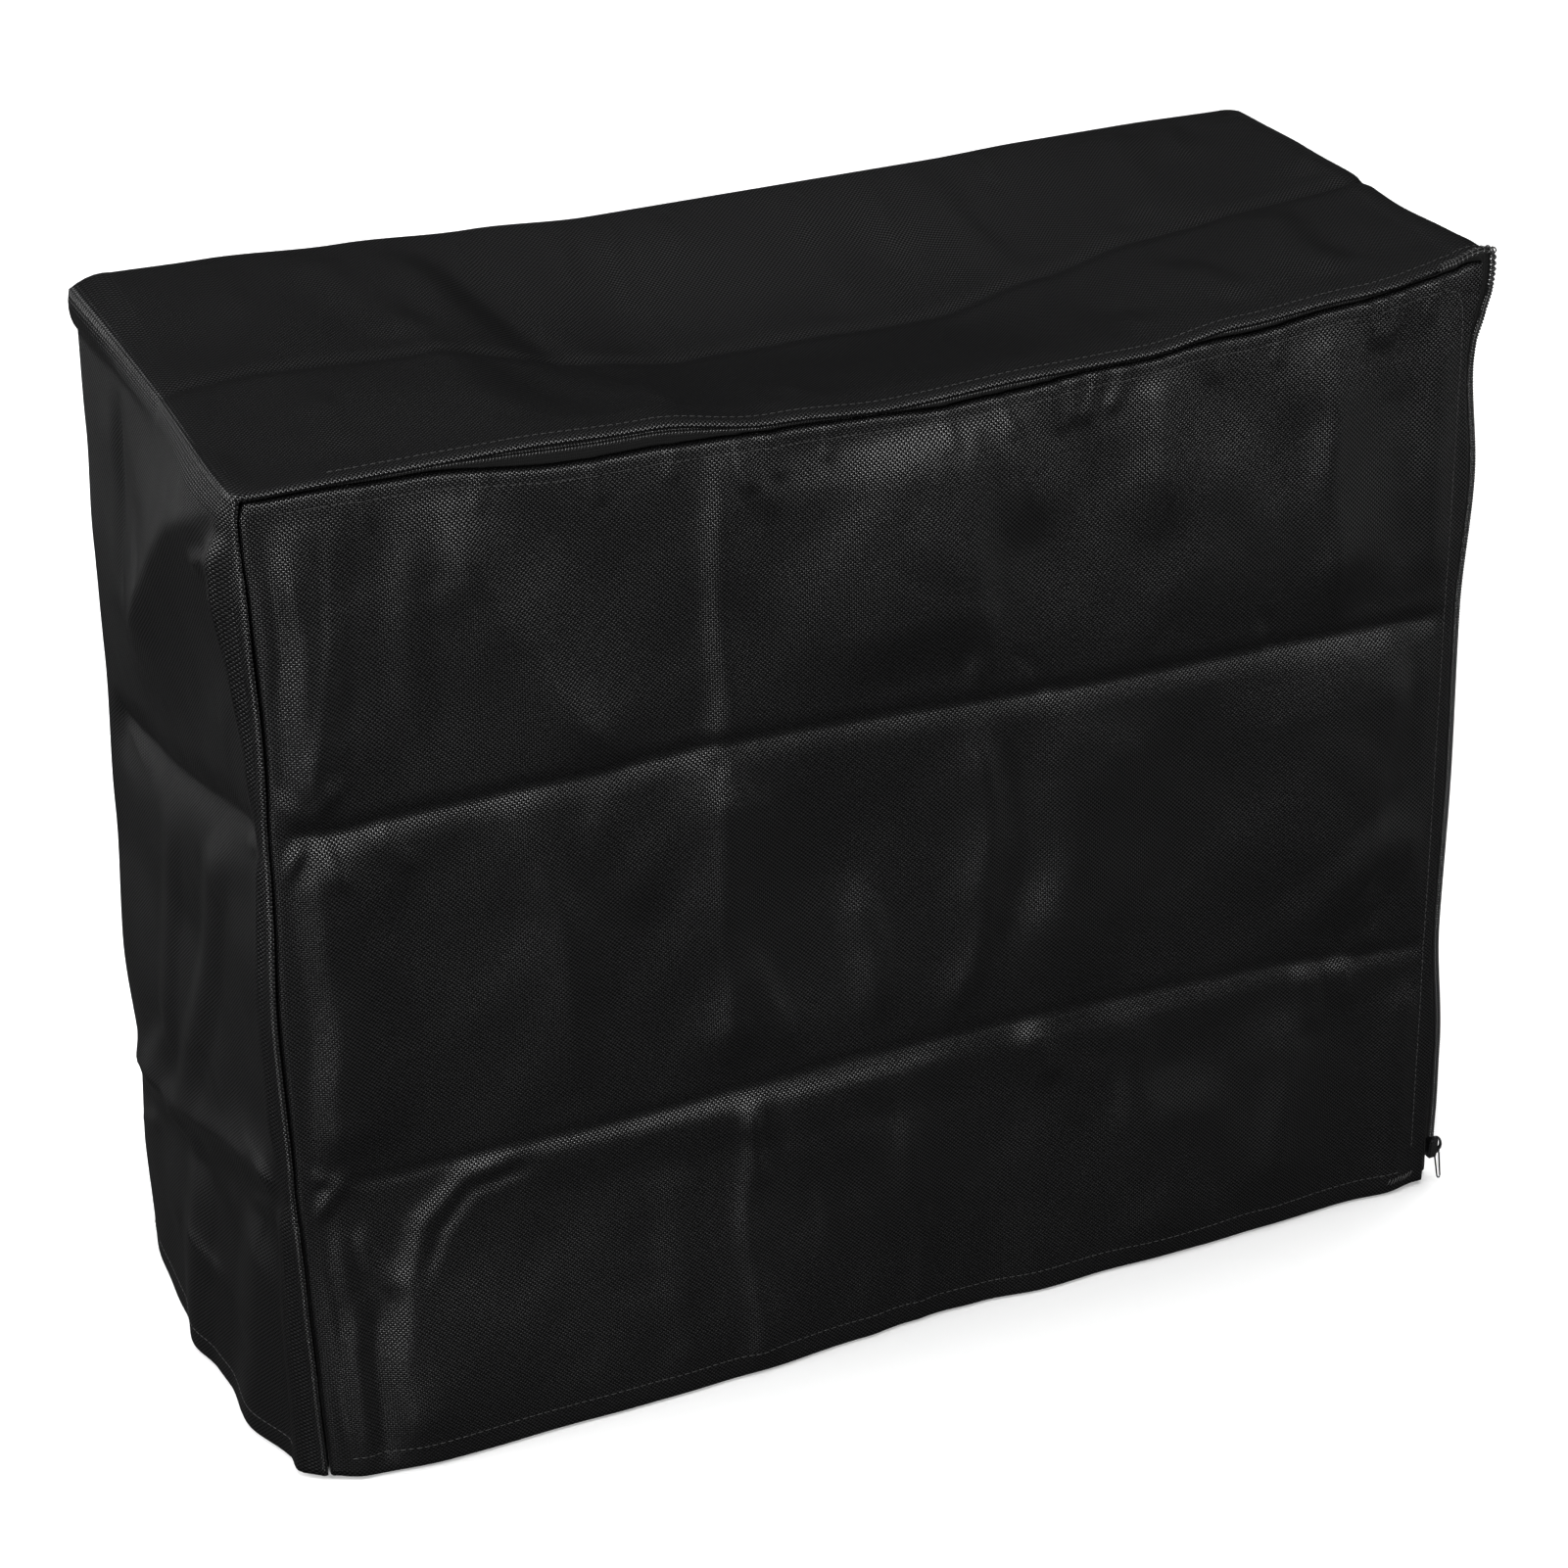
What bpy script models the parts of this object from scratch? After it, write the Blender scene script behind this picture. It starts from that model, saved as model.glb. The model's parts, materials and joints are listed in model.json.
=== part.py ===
"""Zipped dust cover for a tower computer, standing in the folds it was packed in.

Metres, +Z up, +X along the wide face and +Y to the back. The cover is drawn with its top
edge at height zero, and an empty lifts it so that the origin lies on the underside of the
sagging top. One strip of cloth makes the left side, the top and the right side. Places on
that strip are given by `run`, the way along it from the left hem, and `back`, the depth
behind the front edge. `down` is the distance below the top edge.
"""

import math

import bmesh
import bpy
from mathutils import Vector

# Driving sizes
WIDTH = 0.505
DEPTH = 0.199
HEIGHT = 0.430
BEND = 0.011  # radius of the strip's two top corners
CLOTH = 0.0015  # thickness of the panels and the strip
TAPE = 0.0010  # thickness of the zip's tapes
GAP = 0.0004  # between neighbouring pieces
TURN = 0.00145  # middle radius of a turned-in edge
TUCK = 0.0010  # straight end of a turned-in edge
HEM = 0.010
HEM_TURN = 0.0012  # middle radius of the hem's fold
HEM_INSET = 0.008  # bare length at each end of a hem, where the side seams lie
CHAIN = 0.0016  # radius of the zip's closed coil

# How fine the solids are
PANEL_STEP = 0.0160
BACK_STEP = 0.028
STRIP_STEP = 0.0190
ACROSS_STEP = 0.0220
CORNER_ROW = 0.030  # the row of a panel's points that its top corners start from
BEND_PARTS = 4

DROP = HEIGHT - HEM_TURN - CLOTH / 2  # from the top edge to where the hems fold
SIDE_RUN = DROP - BEND
BEND_RUN = BEND * math.pi / 2
TOP_RUN = WIDTH - 2 * BEND
WHOLE_RUN = 2 * SIDE_RUN + 2 * BEND_RUN + TOP_RUN
EDGE_STEP = TURN + TUCK + CLOTH / 2 + GAP  # from the strip's middle down to a panel's edge

# Packing creases that the points of each face follow: down for the level ones, x for uprights.
FRONT_CREASES = (0.143, 0.297)
BACK_CREASES = (0.149, 0.316)
LEFT_CREASES = (0.137, 0.300)
RIGHT_CREASES = (0.150, 0.302)
UPRIGHT_CREASES = (-0.068, 0.037)

EDGE_FLAT = 0.010  # width beside a panel's edge that its folds leave flat
EDGE_RISE = 0.020  # width over which folds then grow to their full height
TOP_RISE = 0.030

# Top of the strip. Height of its front edge, its middle crease and its back edge.
TOP_SHAPE = (
    # x, front, crease, back
    (-0.252, -0.001, 0.001, 0.010),
    (-0.205, -0.001, 0.003, 0.009),
    (-0.150, -0.001, 0.000, 0.006),
    (-0.096, -0.003, -0.016, 0.003),
    (-0.045, -0.010, -0.022, 0.000),
    (0.000, -0.013, -0.022, 0.000),
    (0.058, -0.011, -0.023, 0.000),
    (0.105, -0.011, -0.015, 0.000),
    (0.147, -0.006, -0.006, 0.001),
    (0.195, -0.003, -0.002, 0.001),
    (0.252, 0.002, 0.001, 0.000),
)
TOP_CREASE_BACK = 0.094  # the crease's depth behind the front edge
TOP_FLAT = 0.008  # width beside the zip that stays level
STITCHED = 0.0165  # flat width of the strip's front edge, over the zip's tape
TOP_SLUMP = 1.4  # how gently the top starts to fall: 1 is at once

# Sides of the strip. How far each stands out of line at its front edge, middle and back edge.
LEFT_SHAPE = (
    # down, front, middle, back
    (0.000, 0.000, 0.001, 0.004),
    (0.050, 0.000, 0.003, 0.005),
    (0.100, -0.001, 0.003, 0.007),
    (0.150, 0.000, 0.002, 0.0075),
    (0.221, 0.003, 0.004, 0.010),
    (0.290, 0.002, 0.009, 0.013),
    (0.340, 0.001, 0.0105, 0.0105),
    (0.385, 0.000, 0.015, 0.012),
    (0.430, -0.001, 0.0175, 0.010),
)
RIGHT_SHAPE = (
    # down, front, middle, back
    (0.000, 0.003, 0.004, 0.001),
    (0.042, -0.002, 0.004, 0.002),
    (0.092, 0.002, 0.004, 0.002),
    (0.150, -0.001, 0.000, 0.002),
    (0.230, 0.000, 0.005, 0.004),
    (0.300, -0.001, 0.002, 0.005),
    (0.360, 0.003, 0.008, 0.006),
    (0.430, 0.002, 0.012, 0.007),
)
SIDE_FULLNESS = 0.6  # 1 bows a side out as an even curve, less keeps it full near its edges

# Folds of the sides, in depth and down from the front top corner. Each has a crisp crest,
# and falls away over one width above the line and another below it.
LEFT_FOLDS = (
    # name, lift, width above, width below, line of (back, down)
    ("shelf", 0.009, 0.045, 0.012,
     ((0.008, 0.010), (0.030, 0.020), (0.056, 0.034), (0.081, 0.055), (0.117, 0.085),
      (0.150, 0.122))),
    ("packing_upper", -0.004, 0.016, 0.030,
     ((0.000, 0.135), (0.033, 0.137), (0.076, 0.144), (0.129, 0.152), (0.199, 0.150))),
    ("packing_lower", 0.004, 0.026, 0.018,
     ((0.000, 0.290), (0.060, 0.303), (0.130, 0.325), (0.199, 0.337))),
    ("hem_near", 0.0045, 0.030, 0.026, ((0.030, 0.345), (0.044, 0.430))),
    ("hem_middle", 0.0035, 0.022, 0.020, ((0.104, 0.352), (0.107, 0.430))),
)
RIGHT_FOLDS = (
    # name, lift, width above, width below, line of (back, down)
    ("packing_upper", -0.003, 0.022, 0.026, ((0.000, 0.151), (0.199, 0.147))),
    ("packing_lower", 0.003, 0.026, 0.022, ((0.000, 0.305), (0.199, 0.300))),
)

# Folds of the front panel, in x and down.
FRONT_FOLDS = (
    # name, lift, width above, width below, line of (x, down)
    ("packing_upper", -0.0040, 0.026, 0.020,
     ((-0.252, 0.137), (-0.228, 0.142), (-0.144, 0.140), (-0.068, 0.139), (0.077, 0.146),
      (0.252, 0.151))),
    ("packing_lower", 0.0045, 0.024, 0.018,
     ((-0.252, 0.290), (-0.216, 0.297), (-0.097, 0.298), (0.080, 0.294), (0.180, 0.299),
      (0.252, 0.308))),
    ("swept_ridge", 0.0045, 0.016, 0.020,
     ((-0.175, 0.300), (-0.198, 0.307), (-0.210, 0.325), (-0.216, 0.348), (-0.213, 0.390),
      (-0.214, 0.430))),
    ("left_upright", 0.0030, 0.020, 0.020,
     ((-0.069, 0.010), (-0.069, 0.140), (-0.067, 0.298), (-0.065, 0.430))),
    ("centre_upright", 0.0020, 0.018, 0.018,
     ((0.030, 0.025), (0.036, 0.150), (0.038, 0.267), (0.044, 0.301), (0.046, 0.413))),
)

# Broad swells (+) and hollows (-) of the front panel.
FRONT_SWELLS = (
    # name, x, down, half width, half height, lean in degrees, lift
    ("seam_roll_upper", -0.224, 0.070, 0.016, 0.070, 0, 0.006),
    ("seam_roll_middle", -0.230, 0.215, 0.016, 0.060, 0, 0.006),
    ("left_swell", -0.148, 0.065, 0.036, 0.070, -25, 0.008),
    ("left_hollow", -0.090, 0.090, 0.026, 0.045, -10, -0.004),
    ("centre_swell", 0.045, 0.075, 0.075, 0.050, 0, 0.007),
    ("zip_dip_near", 0.085, 0.028, 0.018, 0.032, 0, -0.003),
    ("zip_dip_far", 0.140, 0.030, 0.016, 0.034, 0, -0.003),
    ("right_hollow", 0.206, 0.060, 0.020, 0.070, 0, -0.006),
    ("middle_hollow_left", -0.188, 0.215, 0.026, 0.055, 0, -0.004),
    ("middle_swell_left", -0.125, 0.225, 0.030, 0.050, -15, 0.003),
    ("middle_hollow", 0.018, 0.215, 0.028, 0.055, 0, -0.004),
    ("middle_swell", 0.070, 0.235, 0.018, 0.050, 0, 0.004),
    ("middle_hollow_right", 0.116, 0.215, 0.022, 0.055, 0, -0.005),
    ("middle_swell_right", 0.195, 0.225, 0.045, 0.055, 0, 0.005),
    ("lower_hollow_left", -0.095, 0.365, 0.040, 0.050, 0, -0.005),
    ("lower_swell", 0.000, 0.370, 0.022, 0.060, 0, 0.004),
    ("lower_hollow", 0.042, 0.350, 0.018, 0.050, 0, -0.004),
    ("lower_swell_right", 0.105, 0.360, 0.022, 0.060, 0, 0.004),
    ("lower_hollow_right", 0.200, 0.350, 0.024, 0.045, 0, -0.003),
)

# How far the front panel's hem kicks out along its length.
HEM_KICK = (
    # x, out
    (-0.252, 0.001),
    (-0.235, 0.007),
    (-0.200, 0.011),
    (-0.134, 0.009),
    (-0.070, 0.008),
    (-0.016, 0.004),
    (0.014, -0.001),
    (0.037, 0.001),
    (0.065, 0.004),
    (0.107, 0.002),
    (0.173, 0.002),
    (0.225, 0.000),
)
KICK_START = 0.300  # down to where the kick begins

BACK_FOLDS = (
    # name, lift, width above, width below, line of (x, down)
    ("packing_upper", -0.003, 0.040, 0.040, ((-0.252, 0.150), (0.252, 0.147))),
    ("packing_lower", 0.003, 0.040, 0.040, ((-0.252, 0.337), (0.000, 0.315), (0.252, 0.300))),
)
BACK_SWELLS = (
    # name, x, down, half width, half height, lean in degrees, lift
    ("upper_left", -0.120, 0.075, 0.080, 0.060, 0, 0.006),
    ("upper_right", 0.130, 0.080, 0.080, 0.060, 0, 0.005),
    ("middle_left", -0.110, 0.225, 0.090, 0.060, 0, 0.006),
    ("middle_right", 0.120, 0.225, 0.080, 0.060, 0, 0.005),
    ("lower", 0.000, 0.400, 0.160, 0.070, 0, 0.010),
)

# The zip, along the strip from the left hem. `open` is the slit between the two turned-in
# edges, `set_back` how far the strip's edge stands behind the panel's face. The chain's place
# is given outward from the strip and back from the panel. Round the top right corner the
# strip's edge draws back and the chain comes out through the slit.
SLIT = (
    # place along the strip, open, set_back, chain out, chain back, tape width
    (0.000, 0.0000, 0.0000, -0.0029, 0.0044, 0.007),
    (0.130, 0.0004, 0.0000, -0.0029, 0.0044, 0.007),
    (0.300, 0.0014, 0.0000, -0.0029, 0.0044, 0.007),
    (0.400, 0.0010, 0.0000, -0.0029, 0.0044, 0.007),
    (0.450, 0.0006, 0.0000, -0.0031, 0.0044, 0.007),
    (0.490, 0.0020, 0.0000, -0.0039, 0.0044, 0.007),
    (0.545, 0.0075, 0.0000, -0.0060, 0.0046, 0.007),
    (0.585, 0.0065, 0.0000, -0.0055, 0.0046, 0.007),
    (0.625, 0.0020, 0.0000, -0.0039, 0.0044, 0.007),
    (0.670, 0.0006, 0.0000, -0.0032, 0.0044, 0.007),
    (0.700, 0.0030, 0.0000, -0.0044, 0.0044, 0.007),
    (0.730, 0.0030, 0.0000, -0.0044, 0.0044, 0.007),
    (0.760, 0.0006, 0.0000, -0.0032, 0.0044, 0.007),
    (0.795, 0.0006, 0.0000, -0.0032, 0.0044, 0.007),
    (0.825, 0.0030, 0.0000, -0.0044, 0.0044, 0.007),
    (0.865, 0.0020, 0.0000, -0.0040, 0.0044, 0.007),
    (0.885, 0.0029, 0.0000, -0.0051, 0.0046, 0.006),
    (0.900, 0.0029, 0.0066, -0.0051, 0.0046, 0.006),
    (0.918, 0.0014, 0.0066, -0.0018, 0.0030, 0.005),
    (0.933, -0.0010, 0.0050, 0.0014, 0.0016, 0.006),
    (0.945, -0.0010, 0.0044, 0.0007, 0.0014, 0.007),
    (0.956, -0.0012, 0.0040, 0.0003, 0.0012, 0.007),
    (1.290, -0.0012, 0.0040, 0.0003, 0.0012, 0.007),
    (1.315, 0.0000, 0.0064, 0.0006, 0.0014, 0.007),
)
ZIP_TURN = (0.88, 0.98)  # where along the strip the chain comes out of the slit
ZIP_START = 0.452  # just past the left top corner
TAPE_END = WHOLE_RUN - HEM - 0.002
CHAIN_END = WHOLE_RUN - 0.0208
TAPE_CLEAR = 0.0004
TAPE_HANG = 0.0010  # how far a tape's free edge hangs off the cloth
BAND_TAPE_WIDE = 0.009

# The slider faces out from the right side. Its arch carries a flat tab with a slot near its top.
SLIDER_LONG = 0.0100
SLIDER_WIDE = 0.0074
SLIDER_THICK = 0.0042
SLIDER_TAPER = 0.70  # width of its lower end
SLIDER_ROUND = 0.0007
ARCH_RADIUS = 0.0030
ARCH_WIRE = 0.0005
ARCH_TALL = 1.3  # how much taller than round the arch is
ARCH_BROAD = 2.0  # how much broader than thick its band is
TAB_LONG = 0.0155
TAB_WIDE = 0.0054
TAB_THICK = 0.0009
TAB_TAPER = 0.80  # width of its tip
TAB_ROUND = 0.0012
TAB_BAR = 0.0012  # of the tab's metal above its slot
TAB_TOP = -0.0013  # top of the tab from the arch's middle
TAB_LEAN = math.radians(-14)  # tip swung towards the front
SLOT_WIDE = 0.0032
SLOT_TALL = 0.0028


def smooth(t):
    t = min(max(t, 0.0), 1.0)
    return t * t * (3 - 2 * t)


def looked_up(table, place, column):
    """A column of a table at a place between its rows, eased from row to row."""
    if place <= table[0][0]:
        return table[0][column]
    for low, high in zip(table, table[1:]):
        if place <= high[0]:
            share = smooth((place - low[0]) / (high[0] - low[0]))
            return low[column] + share * (high[column] - low[column])
    return table[-1][column]


def from_line(line, p, q):
    """Distance from (p, q) to a line of points, negative above it or to its left."""
    nearest = None
    for (p0, q0), (p1, q1) in zip(line, line[1:]):
        along = ((p - p0) * (p1 - p0) + (q - q0) * (q1 - q0)) / ((p1 - p0) ** 2 + (q1 - q0) ** 2)
        along = min(max(along, 0.0), 1.0)
        off_p = p - p0 - along * (p1 - p0)
        off_q = q - q0 - along * (q1 - q0)
        far = math.hypot(off_p, off_q)
        if nearest is None or far < abs(nearest):
            side = (p1 - p0) * off_q - (q1 - q0) * off_p
            nearest = math.copysign(far, side)
    return nearest


def folded(folds, p, q):
    """What the folds add to the surface's lift at (p, q)."""
    total = 0.0
    for _name, lift, above, below, line in folds:
        far = from_line(line, p, q)
        width = below if far > 0 else above
        total += lift * max(1 - abs(far) / width, 0.0) ** 2
    return total


def swollen(swells, x, down):
    """What the broad swells and hollows add at (x, down)."""
    total = 0.0
    for _name, at_x, at_down, half_x, half_down, lean, lift in swells:
        turn = math.radians(lean)
        off_x = x - at_x
        off_down = down - at_down
        along = off_x * math.cos(turn) + off_down * math.sin(turn)
        across = off_down * math.cos(turn) - off_x * math.sin(turn)
        total += lift * math.exp(-((along / half_x) ** 2) - (across / half_down) ** 2)
    return total


def side_lift(shape, folds, back, down):
    front = looked_up(shape, down, 1)
    middle = looked_up(shape, down, 2)
    rear = looked_up(shape, down, 3)
    share = back / DEPTH
    bow = (middle - (front + rear) / 2) * (4 * share * (1 - share)) ** SIDE_FULLNESS
    edge_ease = smooth(back / EDGE_RISE) * smooth((DEPTH - back) / EDGE_RISE)
    top_ease = smooth(down / TOP_RISE)
    return front + share * (rear - front) + bow + folded(folds, back, down) * edge_ease * top_ease


def top_lift(x, back):
    crease = looked_up(TOP_SHAPE, x, 2)
    if back < TOP_CREASE_BACK:
        edge = looked_up(TOP_SHAPE, x, 1)
        share = max(back - TOP_FLAT, 0.0) / (TOP_CREASE_BACK - TOP_FLAT)
    else:
        edge = looked_up(TOP_SHAPE, x, 3)
        share = (DEPTH - back) / (DEPTH - TOP_CREASE_BACK)
    return edge + (crease - edge) * math.sin(share * math.pi / 2) ** TOP_SLUMP


def strip_base(run):
    """Place (x, z) and outward direction (x, z) at `run`."""
    side = -1 if run <= WHOLE_RUN / 2 else 1
    way = min(run, WHOLE_RUN - run)
    if way < SIDE_RUN:
        return (side * WIDTH / 2, way - DROP), (side, 0.0)
    if way > SIDE_RUN + BEND_RUN:
        return (side * (SIDE_RUN + BEND_RUN + TOP_RUN / 2 - way), 0.0), (0.0, 1.0)
    turned = (way - SIDE_RUN) / BEND
    out = (side * math.cos(turned), math.sin(turned))
    centre_x = side * (WIDTH / 2 - BEND)
    return (centre_x + BEND * out[0], BEND * out[1] - BEND), out


def free_lift(run, back):
    (x, z), (out_x, out_z) = strip_base(run)
    total = 0.0
    if out_z > 0:
        total += out_z * top_lift(x, back)
    if out_x:
        shape, folds = (LEFT_SHAPE, LEFT_FOLDS) if x < 0 else (RIGHT_SHAPE, RIGHT_FOLDS)
        total += abs(out_x) * side_lift(shape, folds, back, -z)
    return total


def strip_lift(run, back):
    """How far the strip stands outward of its plain box shape. The zip's tape keeps it flat."""
    if back >= STITCHED:
        return free_lift(run, back)
    edge = free_lift(run, 0.0)
    return edge + (free_lift(run, STITCHED) - edge) * back / STITCHED


def strip_point(run, back, out=0.0):
    """A point `out` beyond the strip's middle surface at its own front or back edge."""
    (x, z), (out_x, out_z) = strip_base(run)
    return Vector((x + out * out_x, back - DEPTH / 2, z + out * out_z))


def stations(start, end, step, marks=()):
    """Places from start to end, no more than about a step apart, with every mark among them."""
    stops = sorted({start, end, *(mark for mark in marks if start < mark < end)})
    places = []
    for low, high in zip(stops, stops[1:]):
        pieces = max(1, round((high - low) / step))
        places += [low + (high - low) * k / pieces for k in range(pieces)]
    return places + [end]


def strip_stations(step):
    bends = []
    for start in (SIDE_RUN, SIDE_RUN + BEND_RUN + TOP_RUN):
        bends += [start + BEND_RUN * k / BEND_PARTS for k in range(BEND_PARTS + 1)]
    marks = [row[0] for row in SLIT if ZIP_TURN[0] < row[0] < ZIP_TURN[1]]
    marks += [side_run(-1, down) for down in LEFT_CREASES]
    marks += [side_run(1, down) for down in RIGHT_CREASES]
    return stations(0.0, WHOLE_RUN, step, bends + marks)


def turned_edge():
    """Steps of a turned-in edge, as (beyond the start, inward), with its tucked end."""
    steps = [(TURN * math.sin(a), TURN * (1 - math.cos(a))) for a in (math.pi / 4, math.pi / 2)]
    return steps + [(TURN, TURN + TUCK)]


def hem_steps():
    """Steps of a hem's fold, as (below the start, inward), then its turned-up end."""
    steps = []
    for k in range(1, 4):
        angle = math.pi * k / 3
        steps.append((HEM_TURN * math.sin(angle), HEM_TURN * (1 - math.cos(angle))))
    return steps + [(-HEM, 2 * HEM_TURN)]


def cloth_material(name, colour, roughness, metallic=0.0):
    material = bpy.data.materials.new(name)
    material.use_nodes = True
    shader = material.node_tree.nodes["Principled BSDF"]
    shader.inputs["Base Color"].default_value = (*colour, 1.0)
    shader.inputs["Roughness"].default_value = roughness
    shader.inputs["Metallic"].default_value = metallic
    return material


def piece(name, mesh, material, collection, parent):
    mesh.materials.append(material)
    obj = bpy.data.objects.new(name, mesh)
    collection.objects.link(obj)
    obj.parent = parent
    return obj


def thickened(obj, thickness):
    solidify = obj.modifiers.new("cloth_thickness", "SOLIDIFY")
    solidify.thickness = thickness
    solidify.offset = 0.0
    return obj


def finished_mesh(name, maker):
    """A mesh of the smooth-shaded faces that maker draws, its normals facing out."""
    work = bmesh.new()
    maker(work)
    bmesh.ops.recalc_face_normals(work, faces=work.faces)
    mesh = bpy.data.meshes.new(name)
    work.to_mesh(mesh)
    work.free()
    mesh.shade_smooth()
    mesh.set_sharp_from_angle(angle=math.radians(50))
    return mesh


def draw_grid(work, rows):
    """Quads between rows of points. Returns the rows of vertices."""
    lines = [[work.verts.new(point) for point in row] for row in rows]
    join_rows(work, lines)
    return lines


def join_rows(work, lines):
    for lower, upper in zip(lines, lines[1:]):
        for k in range(len(lower) - 1):
            work.faces.new((lower[k], lower[k + 1], upper[k + 1], upper[k]))


def draw_hem(work, edge, below, inward):
    """Folds the end of a sheet up inside it, along a row of its edge's vertices."""
    lines = [edge]
    for drop, inset in hem_steps():
        lines.append([work.verts.new(vert.co + below * drop + inward * inset) for vert in edge])
    join_rows(work, lines)


def make_gusset_band(collection, parent):
    """The strip: left side, top and right side, both long edges turned in, both ends hemmed."""
    across = stations(STITCHED, DEPTH - TURN, ACROSS_STEP, (TOP_CREASE_BACK,))
    runs = strip_stations(STRIP_STEP)
    rows = []
    for run in runs:
        start = looked_up(SLIT, run, 2)
        front = strip_lift(run, start)
        rear = strip_lift(run, DEPTH)
        row = []
        for beyond, inward in reversed(turned_edge()):
            row.append(strip_point(run, start + TURN - beyond, front - inward))
        for place in [start + TURN, *across]:
            row.append(strip_point(run, place, strip_lift(run, place)))
        for beyond, inward in turned_edge():
            row.append(strip_point(run, DEPTH - TURN + beyond, rear - inward))
        rows.append(row)

    def draw(work):
        lines = draw_grid(work, rows)
        for line, inward in ((lines[0], Vector((1, 0, 0))), (lines[-1], Vector((-1, 0, 0)))):
            hemmed = [vert for vert in line if abs(vert.co.y) < DEPTH / 2 - HEM_INSET]
            draw_hem(work, hemmed, Vector((0, 0, -1)), inward)

    material = cloth_material("oxford_band", (0.011, 0.011, 0.012), 0.50)
    mesh = finished_mesh("gusset_band", draw)
    return thickened(piece("gusset_band", mesh, material, collection, parent), CLOTH)


def rim_point(run, back, slit_column):
    """Where a panel's edge starts to turn in, next to the strip at `run`."""
    opened = looked_up(SLIT, run, slit_column) if slit_column else 0.0
    return strip_point(run, back, strip_lift(run, back) - EDGE_STEP - opened - TURN)


def top_run(x):
    """The run above a panel's upright at x. The last uprights stand under the bends."""
    past = abs(x) - TOP_RUN / 2
    way = min(abs(x), TOP_RUN / 2) + max(past, 0.0) * BEND_RUN / BEND
    return WHOLE_RUN / 2 + math.copysign(way, x)


def side_run(side, down):
    return DROP - down if side < 0 else WHOLE_RUN - DROP + down


def panel_uprights(step):
    corner = TOP_RUN / 2
    marks = [side * (corner + BEND * share) for side in (-1, 1) for share in (0.0, 0.33, 0.67)]
    bend_start = WHOLE_RUN / 2 + corner
    marks += [row[0] - WHOLE_RUN / 2 for row in SLIT if ZIP_TURN[0] < row[0] < bend_start]
    return stations(-WIDTH / 2, WIDTH / 2, step, [*marks, *UPRIGHT_CREASES])


def panel_rows(step, back, slit_column, creases, lift):
    """Rows of points for a panel, from hem to top, following the two packing creases."""
    uprights = panel_uprights(step)
    tops = [rim_point(top_run(x), back, slit_column) for x in uprights]
    stops = (DROP, creases[1], creases[0], CORNER_ROW, 0.0)
    rows = []
    for low, high in zip(stops, stops[1:]):
        pieces = max(1, round((low - high) / step / 1.15))
        for k in range(pieces + (high == 0.0)):
            share = k / pieces
            plain = low + (high - low) * share
            row = []
            for upright, top in zip(uprights, tops):
                side = math.copysign(1, upright)
                down = low + (-top.z - low) * share if high == 0.0 else plain
                edge = rim_point(side_run(side, max(down, BEND)), back, slit_column)
                x = upright * abs(edge.x) / (WIDTH / 2)
                if high == 0.0:
                    x += (top.x - x) * smooth(share * 2 - 1)
                row.append(Vector((x, 0, -down)))
            rows.append(row)
    side = -1 if back == 0.0 else 1
    for row in rows:
        for point in row:
            point.y = side * (DEPTH / 2 + lift(point.x, -point.z))
    return rows


def make_panel(name, rows, inward, material, collection, parent):
    """A wide face: its grid, its turned-in left, top and right edges, and its hem."""

    def draw(work):
        lines = draw_grid(work, rows)
        rim = [line[0] for line in lines]
        rim += lines[-1][1:]
        rim += [line[-1] for line in reversed(lines[:-1])]
        outward = []
        for k in range(len(rim)):
            along = rim[min(k + 1, len(rim) - 1)].co - rim[max(k - 1, 0)].co
            outward.append(Vector((-along.z, 0, along.x)).normalized())
        edge = [rim]
        for beyond, depth in turned_edge():
            edge.append([
                work.verts.new(vert.co + out * beyond + inward * depth)
                for vert, out in zip(rim, outward)
            ])
        join_rows(work, edge)
        hemmed = [vert for vert in lines[0] if abs(vert.co.x) < WIDTH / 2 - HEM_INSET - TURN]
        draw_hem(work, hemmed, Vector((0, 0, -1)), inward)

    return thickened(piece(name, finished_mesh(name, draw), material, collection, parent), CLOTH)


def edge_ease(x, down, back):
    """Nought at a panel's sewn or zipped edges, one two fingers' width inside them."""
    side = WIDTH / 2 - abs(x)
    top = down + strip_lift(top_run(min(max(x, -TOP_RUN / 2), TOP_RUN / 2)), back)
    return smooth((side - EDGE_FLAT) / EDGE_RISE) * smooth((top - EDGE_FLAT) / EDGE_RISE)


def front_lift(x, down):
    kick = looked_up(HEM_KICK, x, 1) * smooth((down - KICK_START) / (DROP - KICK_START))
    shape = folded(FRONT_FOLDS, x, down) + swollen(FRONT_SWELLS, x, down)
    return shape * edge_ease(x, down, 0.0) + kick


def back_lift(x, down):
    shape = folded(BACK_FOLDS, x, down) + swollen(BACK_SWELLS, x, down)
    return shape * edge_ease(x, down, DEPTH)


def make_panels(collection, parent):
    front = panel_rows(PANEL_STEP, 0.0, 1, FRONT_CREASES, front_lift)
    material = cloth_material("oxford_front", (0.011, 0.011, 0.012), 0.50)
    make_panel("front_panel", front, Vector((0, 1, 0)), material, collection, parent)
    back = panel_rows(BACK_STEP, DEPTH, None, BACK_CREASES, back_lift)
    material = cloth_material("oxford_back", (0.011, 0.011, 0.012), 0.50)
    make_panel("back_panel", back, Vector((0, -1, 0)), material, collection, parent)


def zip_stations(end):
    last = end - STRIP_STEP / 5
    return [run for run in strip_stations(STRIP_STEP) if ZIP_START < run < last] + [end]


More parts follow.
